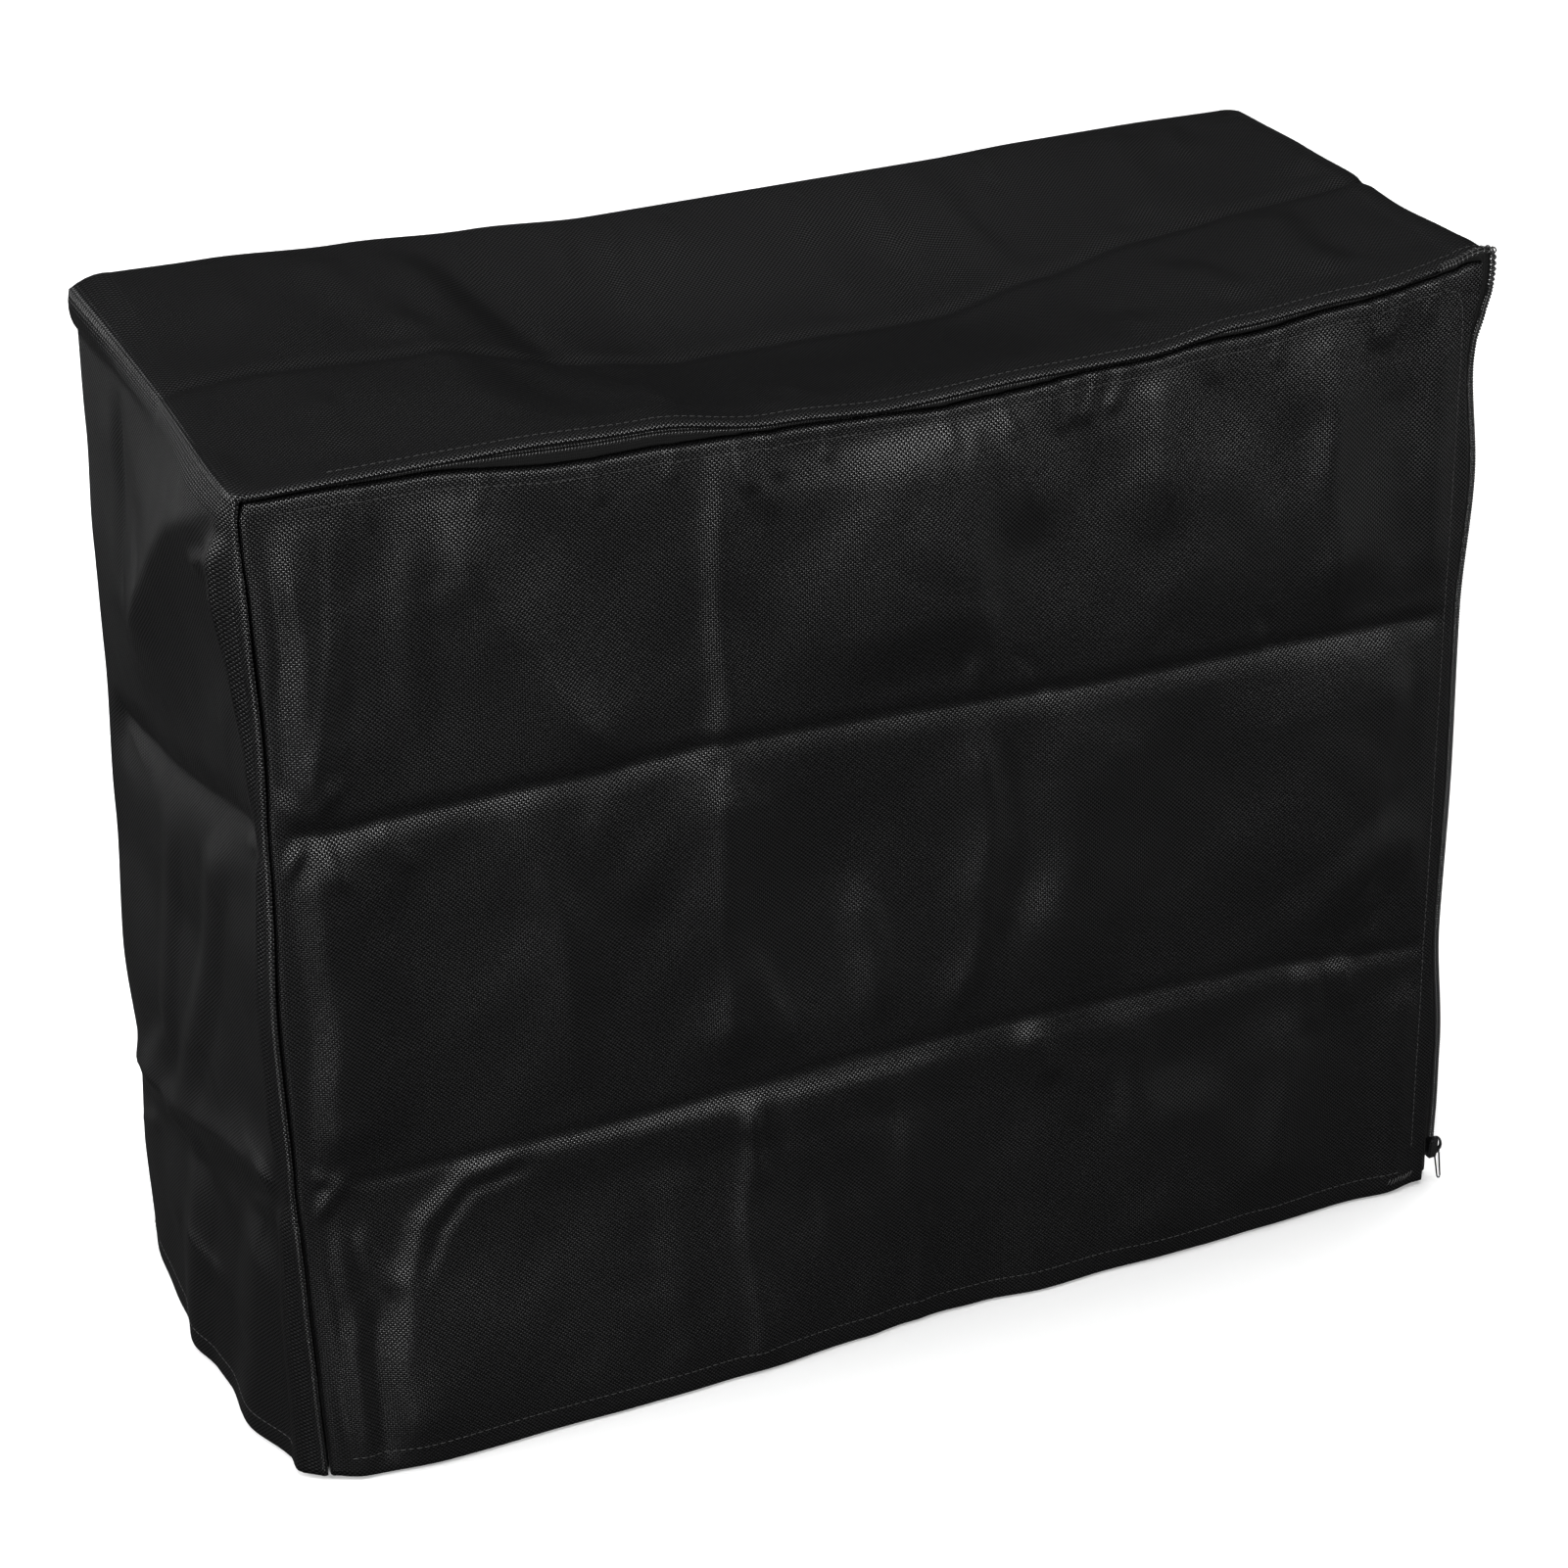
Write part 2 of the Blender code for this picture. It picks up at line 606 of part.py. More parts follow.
def make_tape(name, edges, collection, parent):
    """A zip tape as a strip between two lines of points, made solid about its middle."""
    material = cloth_material(name + "_weave", (0.012, 0.012, 0.012), 0.80)
    mesh = finished_mesh(name, lambda work: draw_grid(work, edges))
    return thickened(piece(name, mesh, material, collection, parent), TAPE)


def make_zip_tapes(collection, parent):
    """The tape sewn behind the front panel's edge, and the one under the strip's edge."""
    under = CLOTH / 2 + TAPE_CLEAR + TAPE / 2
    front_edge, front_free, band_edge, band_free = [], [], [], []
    for run in zip_stations(TAPE_END):
        inner = strip_lift(run, 0.0) - EDGE_STEP - looked_up(SLIT, run, 1) - CLOTH / 2 - TUCK
        front_edge.append(behind_panel(run, inner, under))
        front_free.append(behind_panel(run, inner - looked_up(SLIT, run, 5), under + TAPE_HANG))
        start = max(looked_up(SLIT, run, 2) + CLOTH / 2, looked_up(SLIT, run, 4) + CHAIN)
        start += TAPE_CLEAR
        end = start + BAND_TAPE_WIDE
        band_edge.append(strip_point(run, start, strip_lift(run, start) - under))
        band_free.append(strip_point(run, end, strip_lift(run, end) - under - TAPE_HANG))
    make_tape("zip_tape_front", (front_edge, front_free), collection, parent)
    make_tape("zip_tape_band", (band_edge, band_free), collection, parent)


def behind_panel(run, out, under):
    """A point behind the front panel, `out` from the strip, following the panel's folds."""
    point = strip_point(run, 0.0, out)
    point.y = under - DEPTH / 2 - front_lift(point.x, -point.z)
    return point


def chain_point(run):
    lift = strip_lift(run, 0.0)
    return strip_point(run, looked_up(SLIT, run, 4), lift + looked_up(SLIT, run, 3))


def make_zip_chain(collection, parent):
    """The closed coil as one round cord, from past the left top corner down to the slider."""
    curve = bpy.data.curves.new("zip_chain", "CURVE")
    curve.dimensions = "3D"
    curve.bevel_depth = CHAIN
    curve.bevel_resolution = 1
    curve.use_fill_caps = True
    points = [chain_point(run) for run in zip_stations(CHAIN_END)]
    spline = curve.splines.new("POLY")
    spline.points.add(len(points) - 1)
    for spot, point in zip(spline.points, points):
        spot.co = (*point, 1.0)
    curve.materials.append(cloth_material("coil_nylon", (0.014, 0.014, 0.014), 0.35))
    chain = bpy.data.objects.new("zip_chain", curve)
    collection.objects.link(chain)
    chain.parent = parent


def make_slider(collection, cutters, parent):
    """Slider body with the arch that holds its tab, below the end of the chain."""
    centre = chain_point(CHAIN_END) - Vector((0, 0, GAP + SLIDER_LONG / 2))
    material = cloth_material("slider_nickel", (0.45, 0.45, 0.45), 0.25, 1.0)

    def draw(work):
        bmesh.ops.create_cube(work, size=1.0)
        for vert in work.verts:
            narrow = 1.0 if vert.co.z > 0 else SLIDER_TAPER
            vert.co = Vector((SLIDER_THICK, SLIDER_WIDE * narrow, SLIDER_LONG)) * vert.co
        edges = work.edges[:]
        bmesh.ops.bevel(work, geom=edges, offset=SLIDER_ROUND, segments=2, affect="EDGES")

    slider = piece("zip_slider", finished_mesh("zip_slider", draw), material, collection, parent)
    slider.location = centre
    bpy.ops.mesh.primitive_torus_add(
        major_segments=16, minor_segments=6, major_radius=ARCH_RADIUS, minor_radius=ARCH_WIRE,
    )
    arch = helper(bpy.context.object, "slider_arch", cutters, parent)
    arch.location = centre + Vector((SLIDER_THICK / 2, 0, 0))
    arch.rotation_euler = (math.pi / 2, 0, 0)
    arch.scale = (1.0, ARCH_TALL, ARCH_BROAD)
    joined(slider, arch, "UNION")
    return arch.location


def helper(obj, name, cutters, parent):
    """Keeps an object that only shapes another out of the render."""
    obj.name = name
    for linked in list(obj.users_collection):
        linked.objects.unlink(obj)
    cutters.objects.link(obj)
    obj.parent = parent
    obj.hide_render = True
    obj.display_type = "WIRE"
    return obj


def joined(obj, other, operation):
    modifier = obj.modifiers.new(other.name, "BOOLEAN")
    modifier.operation = operation
    modifier.solver = "EXACT"
    modifier.object = other


def make_puller(arch, collection, cutters, parent):
    """A flat tab that hangs from the slider's arch by its slot, its tip over the hem."""
    material = cloth_material("puller_nickel", (0.60, 0.60, 0.60), 0.20, 1.0)

    def draw(work):
        bmesh.ops.create_cube(work, size=1.0)
        for vert in work.verts:
            narrow = 1.0 if vert.co.z > 0 else TAB_TAPER
            vert.co.z -= 0.5
            vert.co = Vector((TAB_THICK, TAB_WIDE * narrow, TAB_LONG)) * vert.co
        corners = [edge for edge in work.edges if abs(edge.verts[0].co.x - edge.verts[1].co.x) > 0]
        bmesh.ops.bevel(work, geom=corners, offset=TAB_ROUND, segments=3, affect="EDGES")

    tab = piece("zip_puller", finished_mesh("zip_puller", draw), material, collection, parent)
    tab.location = arch + Vector((GAP + TAB_THICK / 2, 0, TAB_TOP))
    tab.rotation_euler = (TAB_LEAN, 0, 0)
    bpy.ops.mesh.primitive_cube_add(size=1.0)
    slot = helper(bpy.context.object, "puller_slot", cutters, tab)
    slot.location = (0, 0, -TAB_BAR - SLOT_TALL / 2)
    slot.scale = (TAB_THICK * 3, SLOT_WIDE, SLOT_TALL)
    joined(tab, slot, "DIFFERENCE")


def main():
    for obj in list(bpy.data.objects):
        bpy.data.objects.remove(obj, do_unlink=True)
    scene = bpy.context.scene
    collection = bpy.data.collections.new("computer_dust_cover")
    scene.collection.children.link(collection)
    cutters = bpy.data.collections.new("cutters")
    scene.collection.children.link(cutters)
    parent = bpy.data.objects.new("top_edge_height", None)
    parent.location = (0, 0, CLOTH / 2 - strip_lift(WHOLE_RUN / 2, DEPTH / 2))
    collection.objects.link(parent)
    make_gusset_band(collection, parent)
    make_panels(collection, parent)
    make_zip_tapes(collection, parent)
    make_zip_chain(collection, parent)
    arch = make_slider(collection, cutters, parent)
    make_puller(arch, collection, cutters, parent)


main()
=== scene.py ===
"""Cloth, zip and thread of a zipped dust cover for a tower computer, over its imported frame.

All of the shaping is done in millimetres and turned to metres when a mesh is made. As in the
part's own source, the cover is drawn with its top edge at height nought, and raised last. One
strip of cloth makes the left side, the top and the right side: `run` is the way along it from
the left hem and `back` the depth behind its front edge. `down` is measured below the top edge.
"""

import json
import math

import bmesh
import bpy
import numpy as np
from mathutils import Matrix, Vector

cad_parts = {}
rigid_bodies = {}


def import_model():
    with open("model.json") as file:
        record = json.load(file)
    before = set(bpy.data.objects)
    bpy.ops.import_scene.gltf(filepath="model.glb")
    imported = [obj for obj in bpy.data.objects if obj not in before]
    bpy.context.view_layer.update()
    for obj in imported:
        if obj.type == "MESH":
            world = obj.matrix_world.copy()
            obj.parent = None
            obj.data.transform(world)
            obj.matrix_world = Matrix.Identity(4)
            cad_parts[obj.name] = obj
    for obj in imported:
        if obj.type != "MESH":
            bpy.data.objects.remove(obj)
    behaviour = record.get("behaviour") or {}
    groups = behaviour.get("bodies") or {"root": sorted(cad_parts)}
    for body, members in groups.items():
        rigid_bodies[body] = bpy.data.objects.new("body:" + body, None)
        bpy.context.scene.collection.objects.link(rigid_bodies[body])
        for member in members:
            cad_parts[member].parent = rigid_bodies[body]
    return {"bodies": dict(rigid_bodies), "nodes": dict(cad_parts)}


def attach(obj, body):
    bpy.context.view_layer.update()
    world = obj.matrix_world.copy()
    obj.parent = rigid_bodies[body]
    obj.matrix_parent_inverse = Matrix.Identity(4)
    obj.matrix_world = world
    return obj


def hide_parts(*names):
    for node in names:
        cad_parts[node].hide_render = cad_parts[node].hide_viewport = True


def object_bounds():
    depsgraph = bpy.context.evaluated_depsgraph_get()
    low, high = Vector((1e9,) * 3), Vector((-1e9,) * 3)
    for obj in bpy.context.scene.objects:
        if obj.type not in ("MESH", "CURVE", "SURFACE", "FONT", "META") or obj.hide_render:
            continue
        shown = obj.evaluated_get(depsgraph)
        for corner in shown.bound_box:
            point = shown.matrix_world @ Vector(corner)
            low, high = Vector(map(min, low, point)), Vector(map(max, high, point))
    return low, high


# Sizes, as in the frame
WIDTH = 505.0
DEPTH = 199.0
HEIGHT = 430.0
BEND = 11.0
TURN = 1.45  # radius of a turned-in edge
TUCK = 1.0
HEM = 10.0
HEM_TURN = 1.2
HEM_INSET = 8.0
FRAME_CLOTH = 1.5  # thickness of the frame's cloth, which the places of the edges go by
GAP = 0.4

# Sizes of the real cloth and thread
CLOTH = 0.8
TAPE = 0.7
TAPE_WIDTH = 11.0
THREAD = 0.34
STITCH = 3.2  # from stitch to stitch
STITCH_LENGTH = 0.84 * STITCH
STITCH_MARGIN = 1.2  # from a hem's inner edge to its stitches

# How finely the cloth is laid out
PANEL_STEP = 2.4
BACK_STEP = 3.6
STRIP_STEP = 2.7
TAPE_STEP = 3.0
CORNER_ROW = 30.0
CORNER_PARTS = 6
BEND_PARTS = 10
TURN_PARTS = 4
EDGE_PARTS = 8
HEM_PARTS = 6
HEM_BACK_PARTS = 4
HEM_RAMP = 12
TAPE_PARTS = 6
FLAT_TURN = 0.8  # what each step round a turned-in edge takes of the flat cloth

DROP = HEIGHT - HEM_TURN - FRAME_CLOTH / 2
SIDE_RUN = DROP - BEND
BEND_RUN = BEND * math.pi / 2
TOP_RUN = WIDTH - 2 * BEND
WHOLE_RUN = 2 * SIDE_RUN + 2 * BEND_RUN + TOP_RUN
EDGE_STEP = TURN + TUCK + FRAME_CLOTH / 2 + GAP
ZIP_START = 452.0  # on the top, just past the left bend
TAPE_END = WHOLE_RUN - HEM - 2.0
CHAIN_END = WHOLE_RUN - 20.8  # inside the slider

# How far the strip stands out of a plain box: on its top, then on its two sides
TOP_SHAPE = (
    # x, front edge, crease, back edge
    (-252, -1, 1, 10), (-205, -1, 3, 9), (-150, -1, 0, 6), (-96, -3, -16, 3), (-45, -10, -22, 0),
    (0, -13, -22, 0), (58, -11, -23, 0), (105, -11, -15, 0), (147, -6, -6, 1), (195, -3, -2, 1),
    (252, 2, 1, 0),
)
TOP_CREASE_BACK = 94.0
TOP_FLAT = 8.0  # beside the zip
TOP_SLUMP = 1.4  # 1 falls evenly to the crease, more falls late
STITCHED = 16.5  # how far back the zip's seam keeps the strip flat
ZIP_RAMP = 40  # how far before the zip's start that begins
SHARP_FRONT, SHARP_REAR = 0.85, 0.35  # 0 is a round bend, 1 a square corner
SHARP_REACH = 70  # how far back the bends turn from sharp to round

LEFT_SHAPE = (
    # down, front edge, middle, back edge
    (0, 0, 1, 4), (50, 0, 3, 5), (100, -1, 3, 7), (150, 0, 2, 7.5), (221, 3, 4, 10),
    (290, 2, 9, 13), (340, 1, 10.5, 10.5), (385, 0, 15, 12), (430, -1, 17.5, 10),
)
RIGHT_SHAPE = (
    # down, front edge, middle, back edge
    (0, 3, 4, 1), (42, -2, 4, 2), (92, 2, 4, 2), (150, -1, 0, 2), (230, 0, 5, 4), (300, -1, 2, 5),
    (360, 3, 8, 6), (430, 2, 12, 7),
)
SIDE_FULLNESS = 0.6  # 1 is a plain bow, less is fuller towards both edges
SIDE_TOP_ROOM = 4.0

# The strip puffs out just behind the left seam, and is drawn in where the packing creases cross.
ROLL_RISE, ROLL_FALL = 0.34, 0.66  # shares of its width
SEAM_ROLL = (
    # down, bulge, width
    (0, 0.0, 12), (16, 1.0, 14), (26, 4.6, 20), (45, 6.0, 24), (75, 4.6, 20), (110, 2.6, 15),
    (136, 0.9, 11), (144, 0.4, 10), (156, 2.2, 13), (200, 3.2, 16), (262, 3.0, 16), (286, 1.0, 12),
    (298, 0.4, 10), (312, 2.4, 14), (360, 3.6, 17), (430, 3.2, 17),
)

# Every fold table has the same columns: lift, first width, second width, kind, fade and line.
# The lift is outward. The first width is on the fold's upper or left side, the second on its
# lower or right side. A kind is crisp for a pressed crease and soft for a rounded fold, and the
# fade is the share of its length over which each end dies away. Lines run from left to right
# or from top to bottom.
CRISP, SOFT = 1, 0
END_SLOPE = 7.0  # a fold's end runs out over at least this many times its lift
EDGE_FLAT = 2.0  # what stays flat beside a sewn edge
EDGE_EASE = 14.0  # the most that a fold takes to die away there
DRIFT_EASE, TOP_DRIFT_EASE = 25, 30
SLACK_FLAT, SLACK_EASE = 6, 20  # for the broad swells of a panel
FREE_FLAT, FREE_EASE = 4, 42  # for the front's own folds, below its top edge
PRESSED, ROUNDED, SHELVED = 0.5, 1.6, 2.5  # how round a crisp crest is
TOP_FOLDS = (
    # ..., line of (x, back)
    # The crease from the packing, right across the middle
    (-1.3, 6, 7, CRISP, 0.0, ((-252, 95), (-130, 94), (40, 93), (252, 95))),
    # Broad sweeps
    (3.0, 24, 20, SOFT, 0.2, ((-80, 4), (-88, 40), (-108, 92), (-125, 140), (-140, 192))),
    (2.2, 16, 18, SOFT, 0.2, ((-148, 106), (-158, 150), (-172, 196))),
    (1.3, 12, 9, SOFT, 0.3, ((-207, 140), (-203, 197))),
    (2.6, 24, 20, SOFT, 0.2, ((160, 102), (172, 150), (180, 197))),
    (2.6, 22, 8, SOFT, 0.2, ((240, 106), (243, 150), (243, 196))),
    (1.8, 18, 14, SOFT, 0.3, ((98, 104), (94, 150), (97, 194))),
    (1.4, 14, 16, SOFT, 0.3, ((30, 104), (38, 150), (50, 194))),
    # Short folds that run back from the zip
    (1.3, 9, 8, SOFT, 0.3, ((-78, 17), (-82, 60))),
    (1.1, 9, 8, SOFT, 0.4, ((-27, 17), (-30, 45))),
    (1.2, 9, 9, SOFT, 0.4, ((118, 17), (113, 42))),
    (1.6, 14, 12, SOFT, 0.3, ((158, 17), (152, 66))),
    (2.2, 18, 16, SOFT, 0.2, ((201, 17), (198, 50), (201, 90))),
    (1.4, 10, 10, SOFT, 0.3, ((-205, 17), (-200, 70))),
    # Puckers that run in from the rear edge
    (0.9, 5, 6, SOFT, 0.3, ((-108, 160), (-103, 197))),
    (1.1, 5, 6, SOFT, 0.3, ((-68, 150), (-62, 197))),
    (1.2, 5, 6, SOFT, 0.3, ((-50, 128), (-43, 197))),
    (1.1, 5, 6, SOFT, 0.3, ((-21, 158), (-14, 197))),
    (0.9, 5, 6, SOFT, 0.3, ((33, 150), (41, 197))),
    (1.4, 6, 7, SOFT, 0.3, ((66, 138), (76, 197))),
    (1.0, 5, 6, SOFT, 0.3, ((118, 160), (125, 197))),
    (1.2, 7, 8, SOFT, 0.3, ((202, 150), (212, 197))),
)
# The broad shelf that slants down the left side from the near corner
LEFT_SHELF = (
    # ..., line of (back, down)
    (9.0, 46, 64, CRISP, 0.12,
     ((-14, -2), (8, 8), (30, 20), (56, 33), (80, 54), (112, 86), (140, 122), (150, 150))),
)
LEFT_FOLDS = (
    # ..., line of (back, down)
    # Packing creases
    (-4.0, 14, 26, CRISP, 0.0, ((0, 139), (33, 144), (76, 156), (129, 168), (199, 176))),
    (4.0, 26, 18, CRISP, 0.0, ((0, 290), (60, 303), (130, 325), (199, 337))),
    # Flares at the hem
    (4.5, 26, 30, SOFT, 0.0, ((30, 345), (44, 430))),
    (3.5, 20, 22, SOFT, 0.0, ((104, 352), (107, 430))),
    # A tuck under the near corner, and an upright under the shelf
    (1.8, 5, 7, CRISP, 0.3, ((3, 26), (20, 33), (40, 43))),
    (-2.0, 9, 11, CRISP, 0.2, ((146, 14), (152, 60), (158, 112))),
    # Sweeps between the creases
    (2.4, 18, 16, SOFT, 0.2, ((40, 158), (70, 190), (80, 225), (92, 262), (108, 295), (126, 330))),
    (1.8, 16, 14, SOFT, 0.2, ((122, 176), (132, 240), (138, 296), (182, 350))),
    # Kinks in the lower part
    (1.6, 7, 8, CRISP, 0.3, ((92, 327), (112, 332), (145, 329))),
    (1.3, 6, 7, CRISP, 0.3, ((70, 378), (92, 377), (114, 371))),
    # Pinches where the creases meet the front seam
    (1.1, 5, 5, SOFT, 0.4, ((3, 139), (30, 134))),
    (1.2, 5, 5, SOFT, 0.4, ((3, 145), (28, 153))),
    (1.3, 5, 6, SOFT, 0.4, ((3, 294), (42, 288))),
    (1.3, 5, 6, SOFT, 0.4, ((3, 304), (44, 319))),
    # Tucks at the rear edge
    (1.1, 6, 7, SOFT, 0.3, ((150, 186), (198, 172))),
    (1.1, 6, 7, SOFT, 0.3, ((158, 352), (198, 372))),
)
RIGHT_FOLDS = (
    # ..., line of (back, down)
    # Packing creases, and the upright between them
    (-3.0, 22, 26, CRISP, 0.0, ((0, 151), (90, 149), (199, 147))),
    (3.0, 26, 22, CRISP, 0.0, ((0, 305), (110, 303), (199, 300))),
    (1.4, 8, 8, CRISP, 0.1, ((98, 12), (101, 150), (99, 300), (101, 430))),
    # Sweeps, two to each field
    (2.6, 22, 18, SOFT, 0.2, ((36, 22), (60, 60), (72, 104), (64, 142))),
    (2.2, 18, 20, SOFT, 0.2, ((168, 20), (150, 70), (142, 140))),
    (2.6, 18, 20, SOFT, 0.2, ((60, 160), (52, 205), (66, 250), (60, 296))),
    (2.2, 20, 18, SOFT, 0.2, ((140, 160), (152, 215), (134, 290))),
    (2.6, 20, 20, SOFT, 0.1, ((50, 315), (58, 370), (48, 430))),
    (2.4, 20, 20, SOFT, 0.1, ((140, 312), (132, 370), (145, 430))),
    # Tucks at the rear edge
    (1.1, 6, 7, SOFT, 0.3, ((160, 128), (198, 140))),
    (1.1, 6, 7, SOFT, 0.3, ((156, 318), (198, 306))),
)

PACKING_UPPER = ((-252, 137), (-228, 142), (-144, 140), (-68, 139), (77, 146), (252, 151))
PACKING_LOWER = ((-252, 292), (-216, 296), (-97, 296), (-20, 294), (80, 295), (180, 299), (252, 308))
FRONT_CREASES = (
    # ..., line of (x, down)
    (-1.7, 7, 12, CRISP, 0.0, PACKING_UPPER),
    (-0.8, 6, 6, CRISP, 0.0, PACKING_LOWER),
)
FRONT_FOLDS = (
    # ..., line of (x, down)
    # The lip under the lower packing crease
    (1.5, 8, 20, SOFT, 0.35, ((-196, 303), (-97, 305), (-20, 306), (40, 306), (84, 306))),
    (0.6, 7, 16, SOFT, 0.2, ((40, 306), (180, 309), (252, 316))),
    # Uprights from the packing, left and centre
    (2.2, 10, 28, CRISP, 0.0, ((-71, 8), (-71, 70), (-70, 140))),
    (4.0, 30, 46, CRISP, 0.16, ((-71, 142), (-72, 220), (-70, 292))),
    (1.5, 10, 12, CRISP, 0.1, ((-66, 300), (-66, 360), (-65, 430))),
    (1.0, 9, 9, CRISP, 0.1, ((31, 22), (34, 80), (36, 140))),
    # The ridge that sweeps down to the hem's left end, its crease and its arm
    (1.8, 7, 46, CRISP, 0.15,
     ((-150, 299), (-184, 304), (-202, 320), (-212, 344), (-214, 390), (-213, 430))),
    (-1.2, 4, 6, CRISP, 0.2, ((-150, 306), (-184, 310), (-198, 326), (-208, 350))),
    (1.7, 5, 6, CRISP, 0.3, ((-228, 312), (-223, 334), (-216, 353))),
    # A valley and two ridges beside it
    (-1.3, 8, 7, SOFT, 0.2, ((-226, 345), (-225, 390), (-226, 430))),
    (1.4, 7, 6, SOFT, 0.2, ((-247, 305), (-245, 350), (-241, 430))),
    (1.4, 7, 7, SOFT, 0.2, ((-236, 302), (-233, 350), (-232, 430))),
    # Rolls and lines along the left seam
    (2.9, 13, 17, SOFT, 0.1, ((-231, -10), (-231, 60), (-230, 105), (-236, 138))),
    (1.0, 4, 5, SOFT, 0.3, ((-243, 8), (-247, 50), (-246, 112))),
    (1.4, 5, 7, CRISP, 0.2, ((-213, -6), (-219, 60), (-226, 106), (-233, 134))),
    (3.0, 15, 34, SOFT, 0.15, ((-237, 142), (-230, 172), (-229, 240), (-237, 290))),
    # Pinches where the packing creases meet the left seam
    (1.5, 5, 5, CRISP, 0.4, ((-250, 116), (-236, 138))),
    (1.5, 5, 5, CRISP, 0.4, ((-236, 138), (-217, 170))),
    (1.5, 5, 5, CRISP, 0.4, ((-220, 118), (-236, 138))),
    (1.5, 5, 5, CRISP, 0.4, ((-236, 138), (-251, 164))),
    (1.4, 5, 5, CRISP, 0.4, ((-250, 284), (-226, 300))),
    (1.4, 5, 5, CRISP, 0.4, ((-228, 286), (-250, 312))),
    # Above the upper crease, from left to right
    (4.4, 38, 48, CRISP, 0.1, ((-182, -24), (-166, 50), (-146, 88), (-126, 120), (-112, 146))),
    (0.9, 12, 12, SOFT, 0.3, ((-188, -8), (-192, 60), (-190, 130))),
    (1.2, 9, 8, SOFT, 0.3, ((-60, 4), (-54, 30), (-46, 52))),
    (4.2, 78, 28, SOFT, 0.1, ((14, 8), (19, 66), (22, 130))),
    (3.4, 26, 32, CRISP, 0.3, ((44, -20), (49, 36), (58, 84))),
    (3.4, 34, 22, CRISP, 0.3, ((106, -20), (111, 40), (117, 92))),
    (2.6, 74, 30, SOFT, 0.4, ((136, 26), (148, 90), (152, 150))),
    (4.8, 40, 32, CRISP, 0.2, ((185, -32), (187, 60), (194, 150))),
    (3.0, 28, 7, SOFT, 0.1, ((243, -10), (244, 70), (244, 140))),
    # Between the creases, from left to right
    (3.0, 34, 22, CRISP, 0.4, ((-158, 128), (-140, 195), (-134, 290))),
    (1.3, 16, 18, SOFT, 0.3, ((-128, 140), (-112, 180), (-104, 214))),
    (1.8, 15, 11, SOFT, 0.3, ((-16, 206), (-9, 245), (-8, 290))),
    (1.2, 9, 8, SOFT, 0.3, ((-62, 230), (-52, 262), (-46, 290))),
    (2.4, 18, 14, CRISP, 0.2, ((33, 146), (40, 190), (39, 240), (20, 296))),
    (4.0, 28, 44, SOFT, 0.35, ((68, 140), (79, 185), (80, 232), (70, 304))),
    (4.2, 92, 14, SOFT, 0.3, ((214, 136), (219, 180), (216, 220), (200, 290))),
    (2.4, 24, 22, SOFT, 0.3, ((246, 240), (205, 266), (168, 296))),
    (1.4, 9, 12, SOFT, 0.3, ((214, 266), (212, 284), (216, 308))),
    (1.4, 22, 9, SOFT, 0.2, ((242, 150), (242, 300))),
    # Below the lower crease, from left to right
    (0.8, 14, 12, SOFT, 0.2, ((-98, 316), (-96, 370), (-98, 430))),
    (1.3, 5, 6, CRISP, 0.3, ((-64, 300), (-65, 325), (-58, 348))),
    (1.6, 7, 14, SOFT, 0.45, ((-54, 294), (-45, 320), (-36, 348), (-30, 392))),
    (1.4, 16, 26, SOFT, 0.4, ((-50, 300), (-30, 320), (2, 350))),
    (3.4, 20, 28, CRISP, 0.3, ((0, 300), (10, 370), (12, 460))),
    (1.8, 10, 13, SOFT, 0.3, ((54, 296), (62, 312), (72, 332))),
    (1.9, 13, 15, SOFT, 0.4, ((94, 290), (104, 322), (112, 366))),
    (1.4, 9, 10, SOFT, 0.3, ((184, 298), (189, 318), (192, 338))),
    (1.2, 8, 9, SOFT, 0.3, ((202, 300), (207, 330))),
    (3.4, 50, 40, SOFT, 0.3, ((124, 330), (126, 380), (122, 440))),
    (3.4, 44, 26, CRISP, 0.3, ((182, 310), (180, 366), (170, 430))),
    (2.6, 30, 7, SOFT, 0.1, ((243, 318), (244, 380), (243, 440))),
    # Small gathers at the upper crease
    (-0.8, 5, 5, SOFT, 0.3, ((28, 114), (31, 142))),
    (-1.0, 5, 6, SOFT, 0.3, ((48, 122), (58, 136), (66, 149))),
    (-0.8, 5, 5, SOFT, 0.3, ((158, 128), (165, 152))),
    (1.0, 6, 6, SOFT, 0.3, ((-208, 139), (-196, 168))),
)
FRONT_SWELLS = (
    # x, down, half width, half height, lift
    (10, 76, 84, 44, 1.8),
    (88, 122, 86, 48, 2.6),
    (-150, 84, 80, 46, -0.8),
    (-24, 212, 46, 56, -2.6),
    (-196, 205, 30, 48, -1.6),
)
# The front panel's hem stands out of line, from KICK_START down
HEM_KICK = (
    # x, out
    (-252, 1), (-235, 7), (-200, 11), (-134, 9), (-70, 8), (-16, 4), (14, -1), (37, 1), (65, 4),
    (107, 2), (173, 2), (225, 0),
)
KICK_START = 300.0

# Slow drifts of each face: how far, over patches of what size, and a turn that sets them apart
SIDE_DRIFT = ((0.5, 96, 0.4), (0.25, 43, 1.9))
TOP_DRIFT = ((0.7, 110, 2.4), (0.3, 47, 0.9))
FRONT_DRIFT = ((0.5, 120, 1.3), (0.22, 41, 2.7))
BACK_DRIFT = ((0.7, 120, 0.2), (0.3, 47, 2.0))
# How far folds stray from their lines: sideways, and on the front also up and down
FRONT_STRAY, BACK_STRAY = ((2.2, 60, 0.3),), ((2.2, 60, 0.9),)
FRONT_STRAY_DOWN = ((0.8, 52, 1.1),)
STEADY_ROW, STEADY_REACH = 220, 200  # it dies away towards this height of the front

